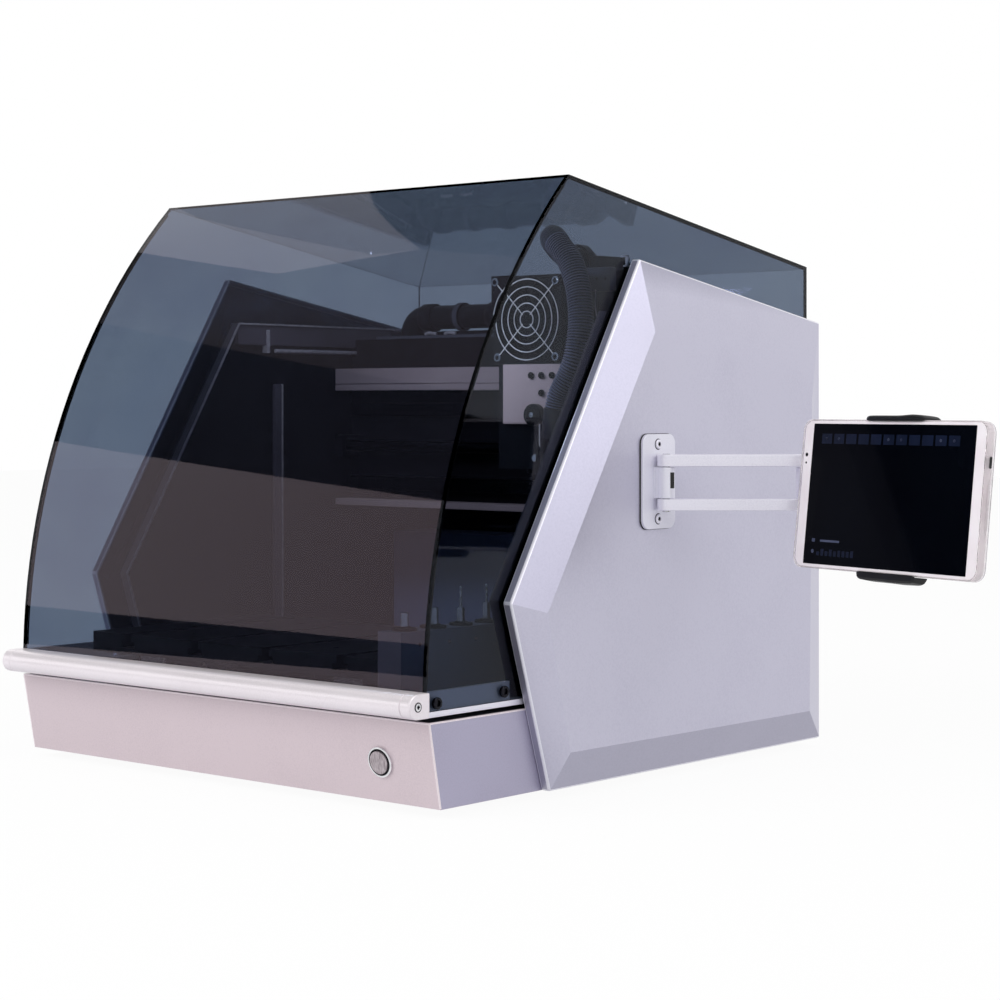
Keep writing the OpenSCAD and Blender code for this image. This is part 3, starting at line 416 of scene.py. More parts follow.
# Round section carried along a path, without twisting
def sweptShape(path, radii, steps=12):
    path = [Vector(point) for point in path]
    last = len(path) - 1
    ahead = [(path[min(i + 1, last)] - path[max(i - 1, 0)]).normalized() for i in range(len(path))]
    side = ahead[0].orthogonal().normalized()
    rings = []
    for i, point in enumerate(path):
        side = (side - ahead[i] * side.dot(ahead[i])).normalized()
        over = ahead[i].cross(side)
        reach = radii[i] if isinstance(radii, list) else radii
        rings.append([point + (side * cos(tau * k / steps)
                               + over * sin(tau * k / steps)) * reach for k in range(steps)])
    return skinOf(rings)


# Flat plate: an outline in (u, v) that grows by its thickness in the way that it faces
def plateShape(outline, place, facing, thickness):
    across, up, depth = [Vector(direction) for direction in facing]
    return skinOf([[Vector(place) + across * u + up * v + depth * d for u, v in outline]
                   for d in (0, thickness)])


def blockShape(low, high):
    outline = [(low[0], low[1]), (high[0], low[1]), (high[0], high[1]), (low[0], high[1])]
    return plateShape(outline, (0, 0, low[2]), facingUp, high[2] - low[2])


def roundedOutline(u0, v0, u1, v1, radius, steps=8):
    outline = []
    for centreU, centreV, start in ((u1 - radius, v0 + radius, -90), (u1 - radius, v1 - radius, 0),
                                    (u0 + radius, v1 - radius, 90), (u0 + radius, v0 + radius, 180)):
        for k in range(steps + 1):
            angle = radians(start + 90 * k / steps)
            outline.append((centreU + radius * cos(angle), centreV + radius * sin(angle)))
    return outline


# Plate with round corners, from its lower left corner to its upper right one
def roundedPlate(corners, radius, place, facing, thickness, steps=8):
    return plateShape(roundedOutline(*corners, radius, steps), place, facing, thickness)


# A point on an upright circle that faces the front
def rimPoint(centre, radius, angle):
    return centre[0] + radius * cos(angle), centre[1], centre[2] + radius * sin(angle)


# The same smooth curve through a route as the part's own hoses follow, at even distances
def smoothRoute(route, spacing, fineSteps=60):
    r = [Vector(p) for p in route]
    fine = []
    for i in range(len(r) - 1):
        a, b, c, d = r[max(i - 1, 0)], r[i], r[i + 1], r[min(i + 2, len(r) - 1)]
        for k in range(fineSteps):
            t = k / fineSteps
            fine.append(0.5 * (2 * b + (c - a) * t + (2 * a - 5 * b + 4 * c - d) * t ** 2
                               + (3 * b - a - 3 * c + d) * t ** 3))
    fine.append(r[-1])
    path, gone = [fine[0]], 0.0
    for a, b in zip(fine, fine[1:]):
        step = (b - a).length
        while gone + step >= spacing * len(path):
            path.append(a.lerp(b, (spacing * len(path) - gone) / step))
        gone += step
    return path


# Rounds the edges where two faces meet at an angle. Folds shallower than the split stay crisp
def roundEdges(piece, edgeMm, steps=3, fromDeg=25, splitDeg=0):
    rounding = piece.modifiers.new("edge", "BEVEL")
    rounding.width = edgeMm / 1000
    rounding.segments = steps
    rounding.limit_method = "ANGLE"
    rounding.angle_limit = radians(fromDeg)
    if splitDeg:
        piece.modifiers.new("facets", "EDGE_SPLIT").split_angle = radians(splitDeg)
    piece.modifiers.new("shade", "WEIGHTED_NORMAL").keep_sharp = False
    return rounding


# Joins shapes into one piece in the frame, gives it a finish and lets it ride on a body
def makePiece(name, shapes, material, body, edgeMm=0.0, move=None, sharpDeg=35):
    points, faces = [], []
    for shapePoints, shapeFaces in shapes:
        first = len(points)
        points += [spot(*(move @ Vector(p) if move else p)) for p in shapePoints]
        faces += [tuple(first + i for i in face) for face in shapeFaces]
    mesh = bpy.data.meshes.new(name)
    shell = bmesh.new()
    mesh.from_pydata(points, [], faces)
    shell.from_mesh(mesh)
    bmesh.ops.recalc_face_normals(shell, faces=shell.faces)
    shell.to_mesh(mesh)
    shell.free()
    mesh.polygons.foreach_set("use_smooth", [True] * len(mesh.polygons))
    mesh.set_sharp_from_angle(angle=radians(sharpDeg))
    mesh.materials.append(material)
    piece = addObject(name, mesh)
    if edgeMm:
        roundEdges(piece, edgeMm)
    if body:
        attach(piece, body)
    return piece


# Socket head: rounded rim and a six-sided recess, from its seat outward
def socketHead(place, axis, radius, height):
    dip, flats = height * 0.55, radius * 0.5
    return turnedShape([(0, radius * 0.96), (height * 0.08, radius), (height * 0.8, radius),
                        (height * 0.95, radius * 0.93), (height, radius * 0.84), (height, flats * 1.08, 6),
                        (height - 0.15, flats, 6), (height - dip, flats, 6)], place, axis)


# Gives a part its material and, where it is folded or machined, a small rounded edge
def dress(node, material, edgeMm, edgeHighlight=None):
    part = cadNodes[node]
    part.data.materials.clear()
    part.data.materials.append(material)
    for face in part.data.polygons:
        face.material_index = 0
    if not edgeMm:
        return
    part.modifiers.new("weld", "WELD").merge_threshold = 0.00001
    flat = part.modifiers.new("flat", "DECIMATE")
    flat.decimate_type = "DISSOLVE"
    flat.angle_limit = radians(0.5)
    if edgeHighlight:  # only the sharper folds take the brighter edge material, a painted highlight
        part.data.materials.append(edgeHighlight)
        roundEdges(part, edgeMm, steps=8, fromDeg=40, splitDeg=15).material = 1
    else:
        roundEdges(part, edgeMm, fromDeg=20)


finishes = [  # the width of the small rounded edge in mm, and 0 for a part that has none
    (baseFinish, {"base_tub": 2.2}), (softRubber, {"feet": 1.5}), (blackCoat, {"deck_plate": 0.4}),
    (wallCoat, {"inner_walls": 0.4, "rear_panel": 0.4, "beam_plate": 0.4}),
    (rearCoat, {"rear_lower_cover": 0.6}),
    (greyCoat, {"side_brackets": 0.3, "top_tray": 0.3}), (magazineCoat, {"tool_magazine": 0.6}),
    (beamFinish, {"beam_top_extrusion": 0.3, "beam_lower_strip": 0.3}),
    (clearAnodised, {"head_trim_plate": 0.3}),
    (blackAnodised, {"drive_motors": 0.5, "bed_plate": 0.4, "x_plate": 0.4, "z_motor": 0.5, "z_plate": 0.4,
                     "head_block": 0.8, "spindle_body": 0.4}),
    (blackPlastic, {"extraction_tube": 0, "power_inlet": 0.5, "fan_box": 0.6, "fan_frame": 0.4,
                    "hose_socket": 0.6, "fan_rotor": 0.3, "tablet_clamp": 0.8, "upper_jaw": 0.8}),
    (hosePlastic, {"front_hose": 0, "rear_hose": 0}), (boardResin, {"control_board": 0.2}),
    (milledAluminium, {"power_supply": 0.6}), (turnedCap, {"button_cap": 0.5}),
    (satinBracket, {"arm_bracket": 0.5}),
    (chromePlate, {"button_bezel": 0.3, "bracket_screws": 0.6, "stored_cutters": 0.2, "fan_grille": 0}),
    (groundSteel, {"bracket_pin": 0.3, "bed_blocks": 0.4, "x_blocks": 0.4, "spindle_shaft": 0.2, "y_screw": 0.2,
                   "z_screw": 0.2, "elbow_pin": 0.3}),
    (blackOxide, {"linear_rails": 0.3, "lid_screws": 0.4, "head_screws": 0.3, "x_screw": 0.2}),
    (satinBar, {"lid_bar": 0.3, "bar_end_caps": 1.0}),
    (satinArm, {"lid_side_rails": 0.2, "arm_bars": 0.8, "swivel_link": 0.4}),
    (coverAcrylic, {"lid_sheet": 0}),
    (sideAcrylic, {"lid_side_panels": 0}), (tabletShellFinish, {"tablet_body": 1.2}),
    (screenGlass, {"tablet_screen": 0}),
]
for material, nodes in finishes:
    for node, edgeMm in nodes.items():
        dress(node, material, edgeMm)
for node in ("left_side_cover", "right_side_cover"):
    dress(node, coverPaint, 1.6, coverEdgeHighlight)
print("parts dressed")

# Hoses: ridged pipe with a smooth cuff at each end
hoseSetup = {"frontRadius": 10.4, "rearRadius": 11.7, "ridge": 2.3, "dip": 1.4, "cuffAdds": 0.3,  # mm
             "frontCuffs": (24, 68), "rearCuffs": (12, 14), "sides": 36, "ringsToRidge": 6, "crest": 0.35}
frontRoute = [(143, 238, 257), (147.5, 239, 288), (157, 240, 306), (163.5, 241, 322), (165, 245, 348),
              (159.5, 249.5, 374), (148, 254.5, 397), (131, 260, 413), (118, 268, 420.5), (108, 281, 419),
              (104, 295, 412.5), (106, 307, 405), (106, 315, 404)]
rearRoute = [(106, 317, 403), (106, 326, 402), (99, 340, 392), (80, 366, 376), (50, 388, 368),
             (22, 399, 365.5), (2, 400, 365.5)]


def ridgedHose(name, route, radius, cuffs):
    dip, ridge, sides = hoseSetup["dip"], hoseSetup["ridge"], hoseSetup["sides"]
    spacing = ridge / hoseSetup["ringsToRidge"]
    path = smoothRoute(route, spacing)
    whole = spacing * (len(path) - 1)
    radii = []
    for i in range(len(path)):
        gone = i * spacing
        smooth = gone < cuffs[0] or gone > whole - cuffs[1]
        wave = 0.5 - 0.5 * cos(tau * gone / ridge)
        radii.append(radius + hoseSetup["cuffAdds"] if smooth else radius - dip * wave ** 2)
    hose = makePiece(name, [sweptShape(path, radii, sides)], hosePlastic, None, sharpDeg=60)
    hose.data.materials.append(hoseRidge)
    for face in hose.data.polygons:  # rings nearer the crest than the groove take the paler plastic
        ring = face.index // sides
        if ring < len(radii) and radius - dip * hoseSetup["crest"] < radii[ring] <= radius:
            face.material_index = 1
    return hose


frontHose = ridgedHose("frontHose", frontRoute, hoseSetup["frontRadius"], hoseSetup["frontCuffs"])
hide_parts("front_hose")
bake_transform(frontHose)
rearHose = ridgedHose("rearHose", rearRoute, hoseSetup["rearRadius"], hoseSetup["rearCuffs"])
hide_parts("rear_hose")
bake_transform(rearHose)
print("hoses made")

# Extraction tube fittings: sleeves and a band on the rigid tube, by start and length
tube = {"y": 400, "z": 365.5, "sleeves": ((-143, 15), (-60, 12), (-13, 13)), "band": (-98.7, 5.4)}
sleeves = [turnedShape([(0, 11.0), (0, 12.2), (1.2, 12.9), (length - 1.2, 12.9), (length, 12.2), (length, 11.0)],
                       (start, tube["y"], tube["z"]), toRight)
           for start, length in tube["sleeves"]]
makePiece("tubeSleeves", sleeves, blackPlastic, "frame")
start, length = tube["band"]
band = turnedShape([(0, 12.4), (0, 13.0), (length, 13.0), (length, 12.4)],
                   (start, tube["y"], tube["z"]), toRight)
makePiece("tubeBand", [band], greyCoat, "frame")

# Screws on the head, the two clamp knobs and the corner screws of the fan
head = {"x": 105, "front": 250, "fanZ": 354, "fanScrews": 30.75, "discRight": 10.4, "discZ": 276.2,
        "plateScrews": ((4.5, 308.3), (15.5, 308.3), (26.5, 308.3), (15.5, 294.1)),
        "knobRight": 12.7, "knobZ": 241.3, "knobBack": 253}
headX, frontY, fanCentre = head["x"], head["front"], head["fanZ"]
corners = [(headX + x * head["fanScrews"], frontY, fanCentre + z * head["fanScrews"])
           for x in (-1, 1) for z in (-1, 1)]
cornerScrews = [socketHead(corner, toFront, 3.6, 2.2) for corner in corners]
fanCornerScrews = makePiece("fanCornerScrews", cornerScrews, chromePlate, "z_head")
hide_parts("head_screws")
plateScrews = [socketHead((headX + x, frontY, z), toFront, 2.7, 1.8) for x, z in head["plateScrews"]]
makePiece("trimPlateScrews", plateScrews, blackOxide, "z_head")
discX, discZ = headX + head["discRight"], head["discZ"]
disc = turnedShape([(0, 8.6), (0.6, 9), (6.2, 9), (7.0, 8.4), (7.2, 7.2), (7.0, 3.2), (6.6, 2.6)],
                   (discX, frontY, discZ), toFront, 48)
makePiece("clampDisc", [disc], blackPlastic, "z_head")
makePiece("clampDiscCentre", [socketHead((discX, frontY - 6.4, discZ), toFront, 2.3, 1.5)], chromePlate, "z_head")
# Dark discs over the fan screws' recesses: painted shade
recessShades = [turnedShape([(2.15, 2.0), (2.3, 1.9)], corner, toFront, 24) for corner in corners]
makePiece("fanScrewRecessShades", recessShades, blackOxide, "z_head")

# Wire guard of the fan: five rings, four spokes that end in eyelets under the screws
guardSetup = {"rings": (6.8, 13.4, 20.0, 26.6, 33.0), "wire": 0.43, "eyelet": 2.9, "spokes": (5.5, 15, 28, 40.6),
              "ringGap": 0.7, "spokeGap": 1.2, "slant": 0.7071}  # a spoke's share along x and along z
ringY, spokeY = frontY - guardSetup["ringGap"], frontY - guardSetup["spokeGap"]


# A ring of guard wire, closed by its last point
def wireRing(x, z, radius, steps):
    turns = [tau * k / steps for k in range(steps + 1)]
    return sweptShape([rimPoint((x, ringY, z), radius, turn) for turn in turns], guardSetup["wire"], 10)


guard = [wireRing(headX, fanCentre, radius, 96) for radius in guardSetup["rings"]]
for x, z in ((1, 1), (1, -1), (-1, 1), (-1, -1)):
    spoke = [(headX + x * d * guardSetup["slant"], spokeY, fanCentre + z * d * guardSetup["slant"])
             for d in guardSetup["spokes"]]
    guard.append(sweptShape(spoke, guardSetup["wire"], 10))
    guard.append(wireRing(headX + x * head["fanScrews"], fanCentre + z * head["fanScrews"],
                          guardSetup["eyelet"], 32))
fanGuard = makePiece("fanGuard", guard, guardWire, "z_head")
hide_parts("fan_grille")

# Clamp knob with a knurled rim: every other ridge of the knurl stands out
knurl = {"ridges": 24, "high": 4.5, "low": 4.15}
knobX, knobZ = headX + head["knobRight"], head["knobZ"]
rings = [[rimPoint((knobX, head["knobBack"] - out, knobZ), knurl["high" if k % 2 else "low"] * shrink,
                   pi * k / knurl["ridges"]) for k in range(2 * knurl["ridges"])]
         for out, shrink in ((0, 0.9), (0.8, 1), (6.6, 1), (7.4, 0.9), (9.0, 0.62))]
makePiece("clampKnob", [skinOf(rings)], chromePlate, "z_head", sharpDeg=20)
print("head screws made")

# Fan rotor with seven curved blades
fan = {"blades": 7, "hub": 14, "tip": 31, "pitchDeg": 38, "sunk": 0.8, "chord": (15, 20), "depth": 12}
# Outline of a blade's section: share of its chord, and lift
bladeSection = ((-0.5, 0.35), (-0.2, 0.75), (0.2, 0.75), (0.5, 0.35), (0.2, -0.1), (-0.2, -0.1))
pitch = radians(fan["pitchDeg"])
root, tip = fan["hub"] - fan["sunk"], fan["tip"]
blades = [turnedShape([(3, 12.6), (3.4, 13.6), (4.2, 14), (21, 14)], (headX, frontY, fanCentre), toBack, 48)]
for i in range(fan["blades"]):
    turn = tau * i / fan["blades"]
    rings = []
    for share in [k / 8 for k in range(9)]:
        reach = root + (tip - root) * share
        chord = fan["chord"][0] + (fan["chord"][1] - fan["chord"][0]) * share
        rings.append([rimPoint((headX, frontY + fan["depth"] + across * chord * sin(pitch) * 0.85
                                + lift * 1.8, fanCentre), reach, turn + across * chord / reach * cos(pitch))
                      for across, lift in bladeSection])
    blades.append(skinOf(rings))
fanRotor = makePiece("fanRotor", blades, blackPlastic, "fan", sharpDeg=50)
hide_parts("fan_rotor")

# Screws in the cover's foot and in the grip bar's ends, and the lips of the foot's angle strips
lid = {"half": 226, "footScrews": ((8.8, 75.2), (81.1, 76.6)), "barEnd": 228.5, "barY": -12.3, "barZ": 74.5,
       "slot": (1.5, 0.45), "lipInner": 217.5, "lipY": (2, 158), "lipZ": (65.3, 66.4)}
barEnd, barY, barZ = lid["barEnd"], lid["barY"], lid["barZ"]
footScrews, shadeRims, barScrews, slotShades, railLips = [], [], [], [], []
for side in (-1, 1):
    outward = (side, 0, 0)
    end = (side * barEnd, barY, barZ)
    footScrews += [socketHead((side * lid["half"], y, z), outward, 4.3, 2.6)
                   for y, z in lid["footScrews"]]
    # painted shade: a dark rim round each bar screw and a dark cross over its recess
    shadeRims.append(turnedShape([(0, 3.5), (0.25, 3.5), (0.25, 2.9), (0.0, 2.9)], end, outward, closed=True))
    barScrews.append(socketHead(end, outward, 2.7, 0.5))
    slotX = sorted((side * (barEnd + 0.45), side * (barEnd + 0.6)))
    for a, b in (lid["slot"], lid["slot"][::-1]):
        slotShades.append(blockShape((slotX[0], barY - a, barZ - b), (slotX[1], barY + a, barZ + b)))
    lipX = sorted((side * lid["lipInner"], side * lid["half"]))
    railLips.append(blockShape(*zip(lipX, lid["lipY"], lid["lipZ"])))
coverFootScrews = makePiece("coverFootScrews", footScrews, blackOxide, "lid")
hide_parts("lid_screws")
makePiece("barScrewShadeRims", shadeRims, blackOxide, "lid")
makePiece("barScrews", barScrews, chromePlate, "lid")
makePiece("barScrewSlotShades", slotShades, blackOxide, "lid")
makePiece("railLips", railLips, satinArm, "lid", 0.4)

# Painted highlights along the base's folded edges, and a dark ring round the button, painted shade of its gap
base = {"half": 228, "height": 62, "lean": 11.5, "inset": 0.5, "highlightRadius": 0.75, "sideEnd": 104, "foot": 0.8,
        "buttonX": 175.4, "buttonZ": 29.4}
sideX, topZ = base["half"] - base["inset"], base["height"] - base["inset"]
topY, lowY = base["inset"], base["lean"] + base["inset"]
edges = [((-sideX, topY, topZ), (sideX, topY, topZ))]
for x in (-sideX, sideX):
    edges.append(((x, lowY, base["foot"]), (x, topY, topZ)))
    edges.append(((x, topY, topZ), (x, base["sideEnd"], topZ)))
highlightBeads = [sweptShape(edge, base["highlightRadius"], 16) for edge in edges]
makePiece("baseEdgeHighlightBeads", highlightBeads, baseEdgeHighlight, "frame")
lean = atan(base["lean"] / base["height"])
buttonZ = base["buttonZ"]
buttonPlace = (base["buttonX"], base["lean"] * (1 - buttonZ / base["height"]), buttonZ)
# a black ring in the gap round the cap: painted shade of the gap
ring = turnedShape([(1.6, 9.0), (1.9, 9.05), (1.9, 9.95), (1.6, 10.0)], buttonPlace,
                   (0, -cos(lean), -sin(lean)), 48, closed=True)
makePiece("buttonGapShade", [ring], blackOxide, "frame")

# Screws round the rear panel and the pins of the mains inlet
rear = {"y": 484, "lowZ": 74, "midZ": 190, "topZ": 302, "x": (-216, -72, 72, 216),
        "pins": ((-163.2, 27.8), (-156, 32.6), (-148.8, 27.8)), "pinY": 466.5, "pinLength": 15}
places = [(x, rear["lowZ"]) for x in rear["x"]] + [(x, rear["midZ"]) for x in rear["x"][::3]]
places += [(x, rear["topZ"]) for x in rear["x"]]
rearScrews = [socketHead((x, rear["y"], z), toBack, 3.1, 1.9) for x, z in places]
makePiece("rearPanelScrews", rearScrews, groundSteel, "frame")
pins = [roundedPlate((x - 1.0, z - 2.2, x + 1.0, z + 2.2), 0.8, (0, rear["pinY"], 0), facingBack,
                     rear["pinLength"], 3) for x, z in rear["pins"]]
makePiece("inletPins", pins, chromePlate, "frame")

# Arm bracket: its two screws with dark rings round their heads and dark fills in their recesses, painted shade; a
# dark outline behind its plate, painted shade of the gap round it; and the insert in its barrel
armBracket = {"face": 252.0, "screwY": 233.5, "screwZ": (254.2, 196.9), "shadeOutline": (213.9, 188.8, 255.9, 262.4),
              "shadeOutlineX": 249.02, "pin": (260, 233.2), "insertZ": (220.7, 232.8), "insertRadii": (6.3, 6.75),
              "insertDeg": (-26, 10)}
bracketScrews, screwShadeRings = [], []
for z in armBracket["screwZ"]:
    place = (armBracket["face"], armBracket["screwY"], z)
    bracketScrews.append(turnedShape([(-0.1, 3.7), (0.9, 3.7), (1.4, 3.2), (1.4, 1.7, 6), (0.3, 1.6, 6)],
                                     place, toRight))
    # painted shade: a dark ring round each head and a dark fill in its recess
    screwShadeRings.append(turnedShape([(0, 4.3), (0.12, 4.25), (0.12, 3.7), (0, 3.7)], place, toRight, closed=True))
    screwShadeRings.append(turnedShape([(0.3, 1.5), (0.75, 1.45)], place, toRight, 24))
bracketScrews = makePiece("bracketScrews", bracketScrews, satinArm, "frame")
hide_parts("bracket_screws")
makePiece("bracketScrewShadeRings", screwShadeRings, blackOxide, "frame")
shadeOutline = roundedPlate(armBracket["shadeOutline"], 7.9, (armBracket["shadeOutlineX"], 0, 0), facingRight, 0.9)
makePiece("bracketShadeOutline", [shadeOutline], softRubber, "frame")
inner, outer = armBracket["insertRadii"]
first, last = armBracket["insertDeg"]
sweep = [radians(first + (last - first) * k / 8) for k in range(9)]
arc = [(outer, angle) for angle in sweep] + [(inner, angle) for angle in reversed(sweep)]
pinX, pinY = armBracket["pin"]
insert = [[(pinX + radius * cos(angle), pinY + radius * sin(angle), z) for radius, angle in arc]
          for z in armBracket["insertZ"]]
makePiece("barrelInsert", [skinOf(insert)], softRubber, "frame")
print("screws made")

# Cutters standing in the magazine: collars, shanks and fluted ends
magazine = {"x": 174.5, "first": 33, "pitch": 29, "top": 121, "shanks": (11, 13, 11, 13, 12, 12),
            "bits": (0, 0, 16, 14, 0, 10), "bitRadius": 1.2, "fluteTurns": 1.6, "flute": 0.22}


# Two flutes wound round a thin rod that narrows over its last two rings
def flutedBit(place, shank, length, steps=32, sides=16):
    rings = []
    for k in range(steps + 1):
        twist = tau * magazine["fluteTurns"] * k / steps
        taper = {steps - 1: 0.75, steps: 0.4}.get(k, 1.0)
        ring = []
        for angle in [tau * m / sides for m in range(sides)]:
            reach = magazine["bitRadius"] * taper * (1 - magazine["flute"]
                                                          + magazine["flute"] * cos(2 * (angle - twist)))
            ring.append((place[0] + reach * cos(angle), place[1] + reach * sin(angle),
                         place[2] + shank + 1.8 + length * k / steps))
        rings.append(ring)
    return skinOf(rings)


collars, shanks, bits = [], [], []
for i, (shank, bit) in enumerate(zip(magazine["shanks"], magazine["bits"])):
    place = (magazine["x"], magazine["first"] + magazine["pitch"] * i, magazine["top"])
    collars.append(turnedShape([(0, 8.6), (0.3, 9), (1.5, 9), (2.0, 8.4), (2.0, 5.0), (3.0, 4.6), (3.0, 3.1)],
                               place, toTop, 48))
    shanks.append(turnedShape([(-12, 2.98), (shank + 1.4, 2.98), (shank + 2.0, 2.5)], place, toTop, 32))
    if bit:
        bits.append(flutedBit(place, shank, bit))
cutterCollars = makePiece("cutterCollars", collars, collarPlastic, "bed")
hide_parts("stored_cutters")
makePiece("cutterShanks", shanks, cutterSteel, "bed")
makePiece("cutterBits", bits, cutterSteel, "bed")
print("cutters made")

# Tablet in its own frame: x along it, y from its glass to its back, z up it
tablet = {"place": (443.7, 256, 217.8), "turnDeg": -15.5, "leanDeg": -6.4, "screen": (168, 105),
          "bezels": (11.9, 11.7, 3.2), "elbow": (338.5, 306), "linkGap": 24, "linkZ": 224}
tabletFrame = (Matrix.Translation(Vector(tablet["place"]))
               @ Matrix.Rotation(radians(tablet["turnDeg"]), 4, "Z")
               @ Matrix.Rotation(radians(tablet["leanDeg"]), 4, "X"))
halfU, halfV = [size / 2 for size in tablet["screen"]]
leftU = -halfU - tablet["bezels"][0]
rightU = halfU + tablet["bezels"][1]
topV = halfV + tablet["bezels"][2]


# A piece whose shapes are in the tablet's own frame
def tabletPiece(name, shapes, material, edgeMm=0.0, body="tablet_holder"):
    return makePiece(name, shapes, material, body, edgeMm, tabletFrame)


shell = roundedPlate((leftU + 2.0, -topV + 0.7, rightU - 2.0, topV - 0.7), 8.0, (0, 3.1, 0), facingFront, 6.7, 10)
tabletShell = tabletPiece("tabletShell", [shell], tabletShellFinish, 1.0)
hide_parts("tablet_body")
glass = roundedPlate((-halfU, -halfV, halfU, halfV), 0.6, (0, -3.3, 0), facingFront, 0.55, 3)
tabletGlass = tabletPiece("tabletGlass", [glass], screenGlass, 0.15)
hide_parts("tablet_screen")
print("tablet made")

# Clear case round the tablet, the small parts in its bezels and the plain fields on its screen
caseOuter = roundedOutline(leftU, -topV, rightU, topV, 9.0, 10)
caseInner = roundedOutline(leftU + 2.1, -topV + 0.8, rightU - 2.1, topV - 0.8, 7.9, 10)
caseRings = [[(u, y, v) for u, v in outline] for outline, y in
             ((caseInner, -4.0), (caseOuter, -3.4), (caseOuter, 3.4), (caseInner, 4.0))]
tabletPiece("clearCase", [skinOf(caseRings, closed=True)], clearSilicone)
dots = [turnedShape([(0, radius), (0.12, radius * 0.96)], (leftU + 6.0, -3.55, z), toFront, 24)
        for z, radius in ((29, 1.5), (23, 0.9))]
tabletPiece("cameraDots", dots, screenGlass)
port = roundedPlate((-1.2, -4.2, 1.2, 4.2), 1.1, (rightU - 0.2, 0, 27), facingRight, 0.25)
tabletPiece("chargePort", [port], blackPlastic)
keys = [roundedPlate((-0.9, -8, 0.9, 8), 0.85, (rightU - 0.3, 0.4, z), facingRight, 0.3) for z in (4, -14)]
tabletPiece("sideKeys", keys, tabletShellFinish)


# Flat field on the screen from its lower left corner, in mm
def screenField(u, v, width, height, radius=0.5):
    corners = (u - halfU, v - halfV, u - halfU + width, v - halfV + height)
    return roundedPlate(corners, radius, (0, -3.84, 0), facingFront, 0.06, 3)


screen = {"left": 10, "pitch": 13.2, "tabs": 11, "tab": (90, 11, 7.5), "marked": (0, 1, 5, 6, 9, 10),
          "mark": (92.6, 2.4, 2.4, 1.1), "meterLeft": 14, "meterPitch": 4.6, "meters": 9}
columns = [screen["left"] + screen["pitch"] * i for i in range(screen["tabs"])]
tabletPiece("screenTabs", [screenField(u, *screen["tab"]) for u in columns], screenFaint)
marks = [screenField(columns[i] + 4, *screen["mark"]) for i in screen["marked"]]
marks += [screenField(8, 16.5, 3.5, 2.6), screenField(17, 16.8, 21, 1.6), screenField(8, 8, 3, 3, 1.4)]
tabletPiece("screenMarks", marks, screenBright)
meters = [screenField(screen["meterLeft"] + screen["meterPitch"] * i, 6.5, 3.2,
                      3 + 2.2 * abs(sin(1.7 * i))) for i in range(screen["meters"])]
tabletPiece("screenMeters", meters, screenFaint)


# Spring clamp: hooked jaws that thin out towards their ends
def hookedJaw(look, side, backY):
    rings = []
    for k in range(33):
        share = k / 32 * 2 - 1
        full = sqrt(max(0.0, 1 - abs(share) ** 12))
        hump = exp(-((share - look["humpAt"]) / 0.3) ** 2)
        rise = (look["thin"] + (look["rise"] - look["thin"]) * full + look["hump"] * hump) * side
        lip = (0.3 + look["lip"] * full) * side
        edge = side * (topV + 0.35)
        front = -4.5 - 1.9 * full
        x = look["middle"] + look["halfWidth"] * share
        ring = [(backY, edge), (backY, edge + rise * 0.8), (backY - 1.6, edge + rise),
                (2.0, edge + rise * 0.95), (front + 1.6, edge + rise * 0.85), (front + 0.3, edge + rise * 0.55),
                (front, edge + rise * 0.2), (front + 0.2, edge - lip), (-4.3, edge - lip), (-4.3, edge)]
        rings.append([(x, y, z) for y, z in ring])
    return skinOf(rings)


upperLook = {"middle": 3.0, "halfWidth": 30.0, "thin": 1.4, "rise": 3.2, "lip": 0.9, "hump": 1.0, "humpAt": 0.6}
lowerLook = {"middle": 5.5, "halfWidth": 30.0, "thin": 1.2, "rise": 5.6, "lip": 0.8, "hump": 0.3, "humpAt": 0.3}
upperTongue = roundedPlate((-11, 18, 11, topV + 3.4), 2, (0, 8.4, 0), facingBack, 3.4)
upperJaw = tabletPiece("upperJaw", [hookedJaw(upperLook, 1, 12.0), upperTongue], blackPlastic, 0.4, "jaw")
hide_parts("upper_jaw")
lowerTongue = roundedPlate((-22, -topV - 2, 22, topV - 14), 6, (0, 4.1, 0), facingBack, 3.9)
mountBlock = roundedPlate((-13, -8, 13, 16), 3, (0, 7.5, 0), facingBack, 10.5)
lowerJaw = [hookedJaw(lowerLook, -1, 8.0), lowerTongue, mountBlock]
clampBack = tabletPiece("clampBack", lowerJaw, blackPlastic, 0.5)
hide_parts("tablet_clamp")
yaw = radians(-tablet["turnDeg"])
clampCentre = Vector((tablet["place"][0] + tablet["linkGap"] * sin(yaw),
                      tablet["place"][1] + tablet["linkGap"] * cos(yaw), tablet["linkZ"]))
alongLink = clampCentre - Vector((*tablet["elbow"], tablet["linkZ"]))
boss = turnedShape([(-13, 4.1), (-13, 7.6), (-12.2, 8.5), (12.2, 8.5), (13, 7.6), (13, 4.1)], clampCentre,
                   alongLink, 48, closed=True)
makePiece("clampBoss", [boss], blackPlastic, "tablet_holder")
print("tablet clamp made")

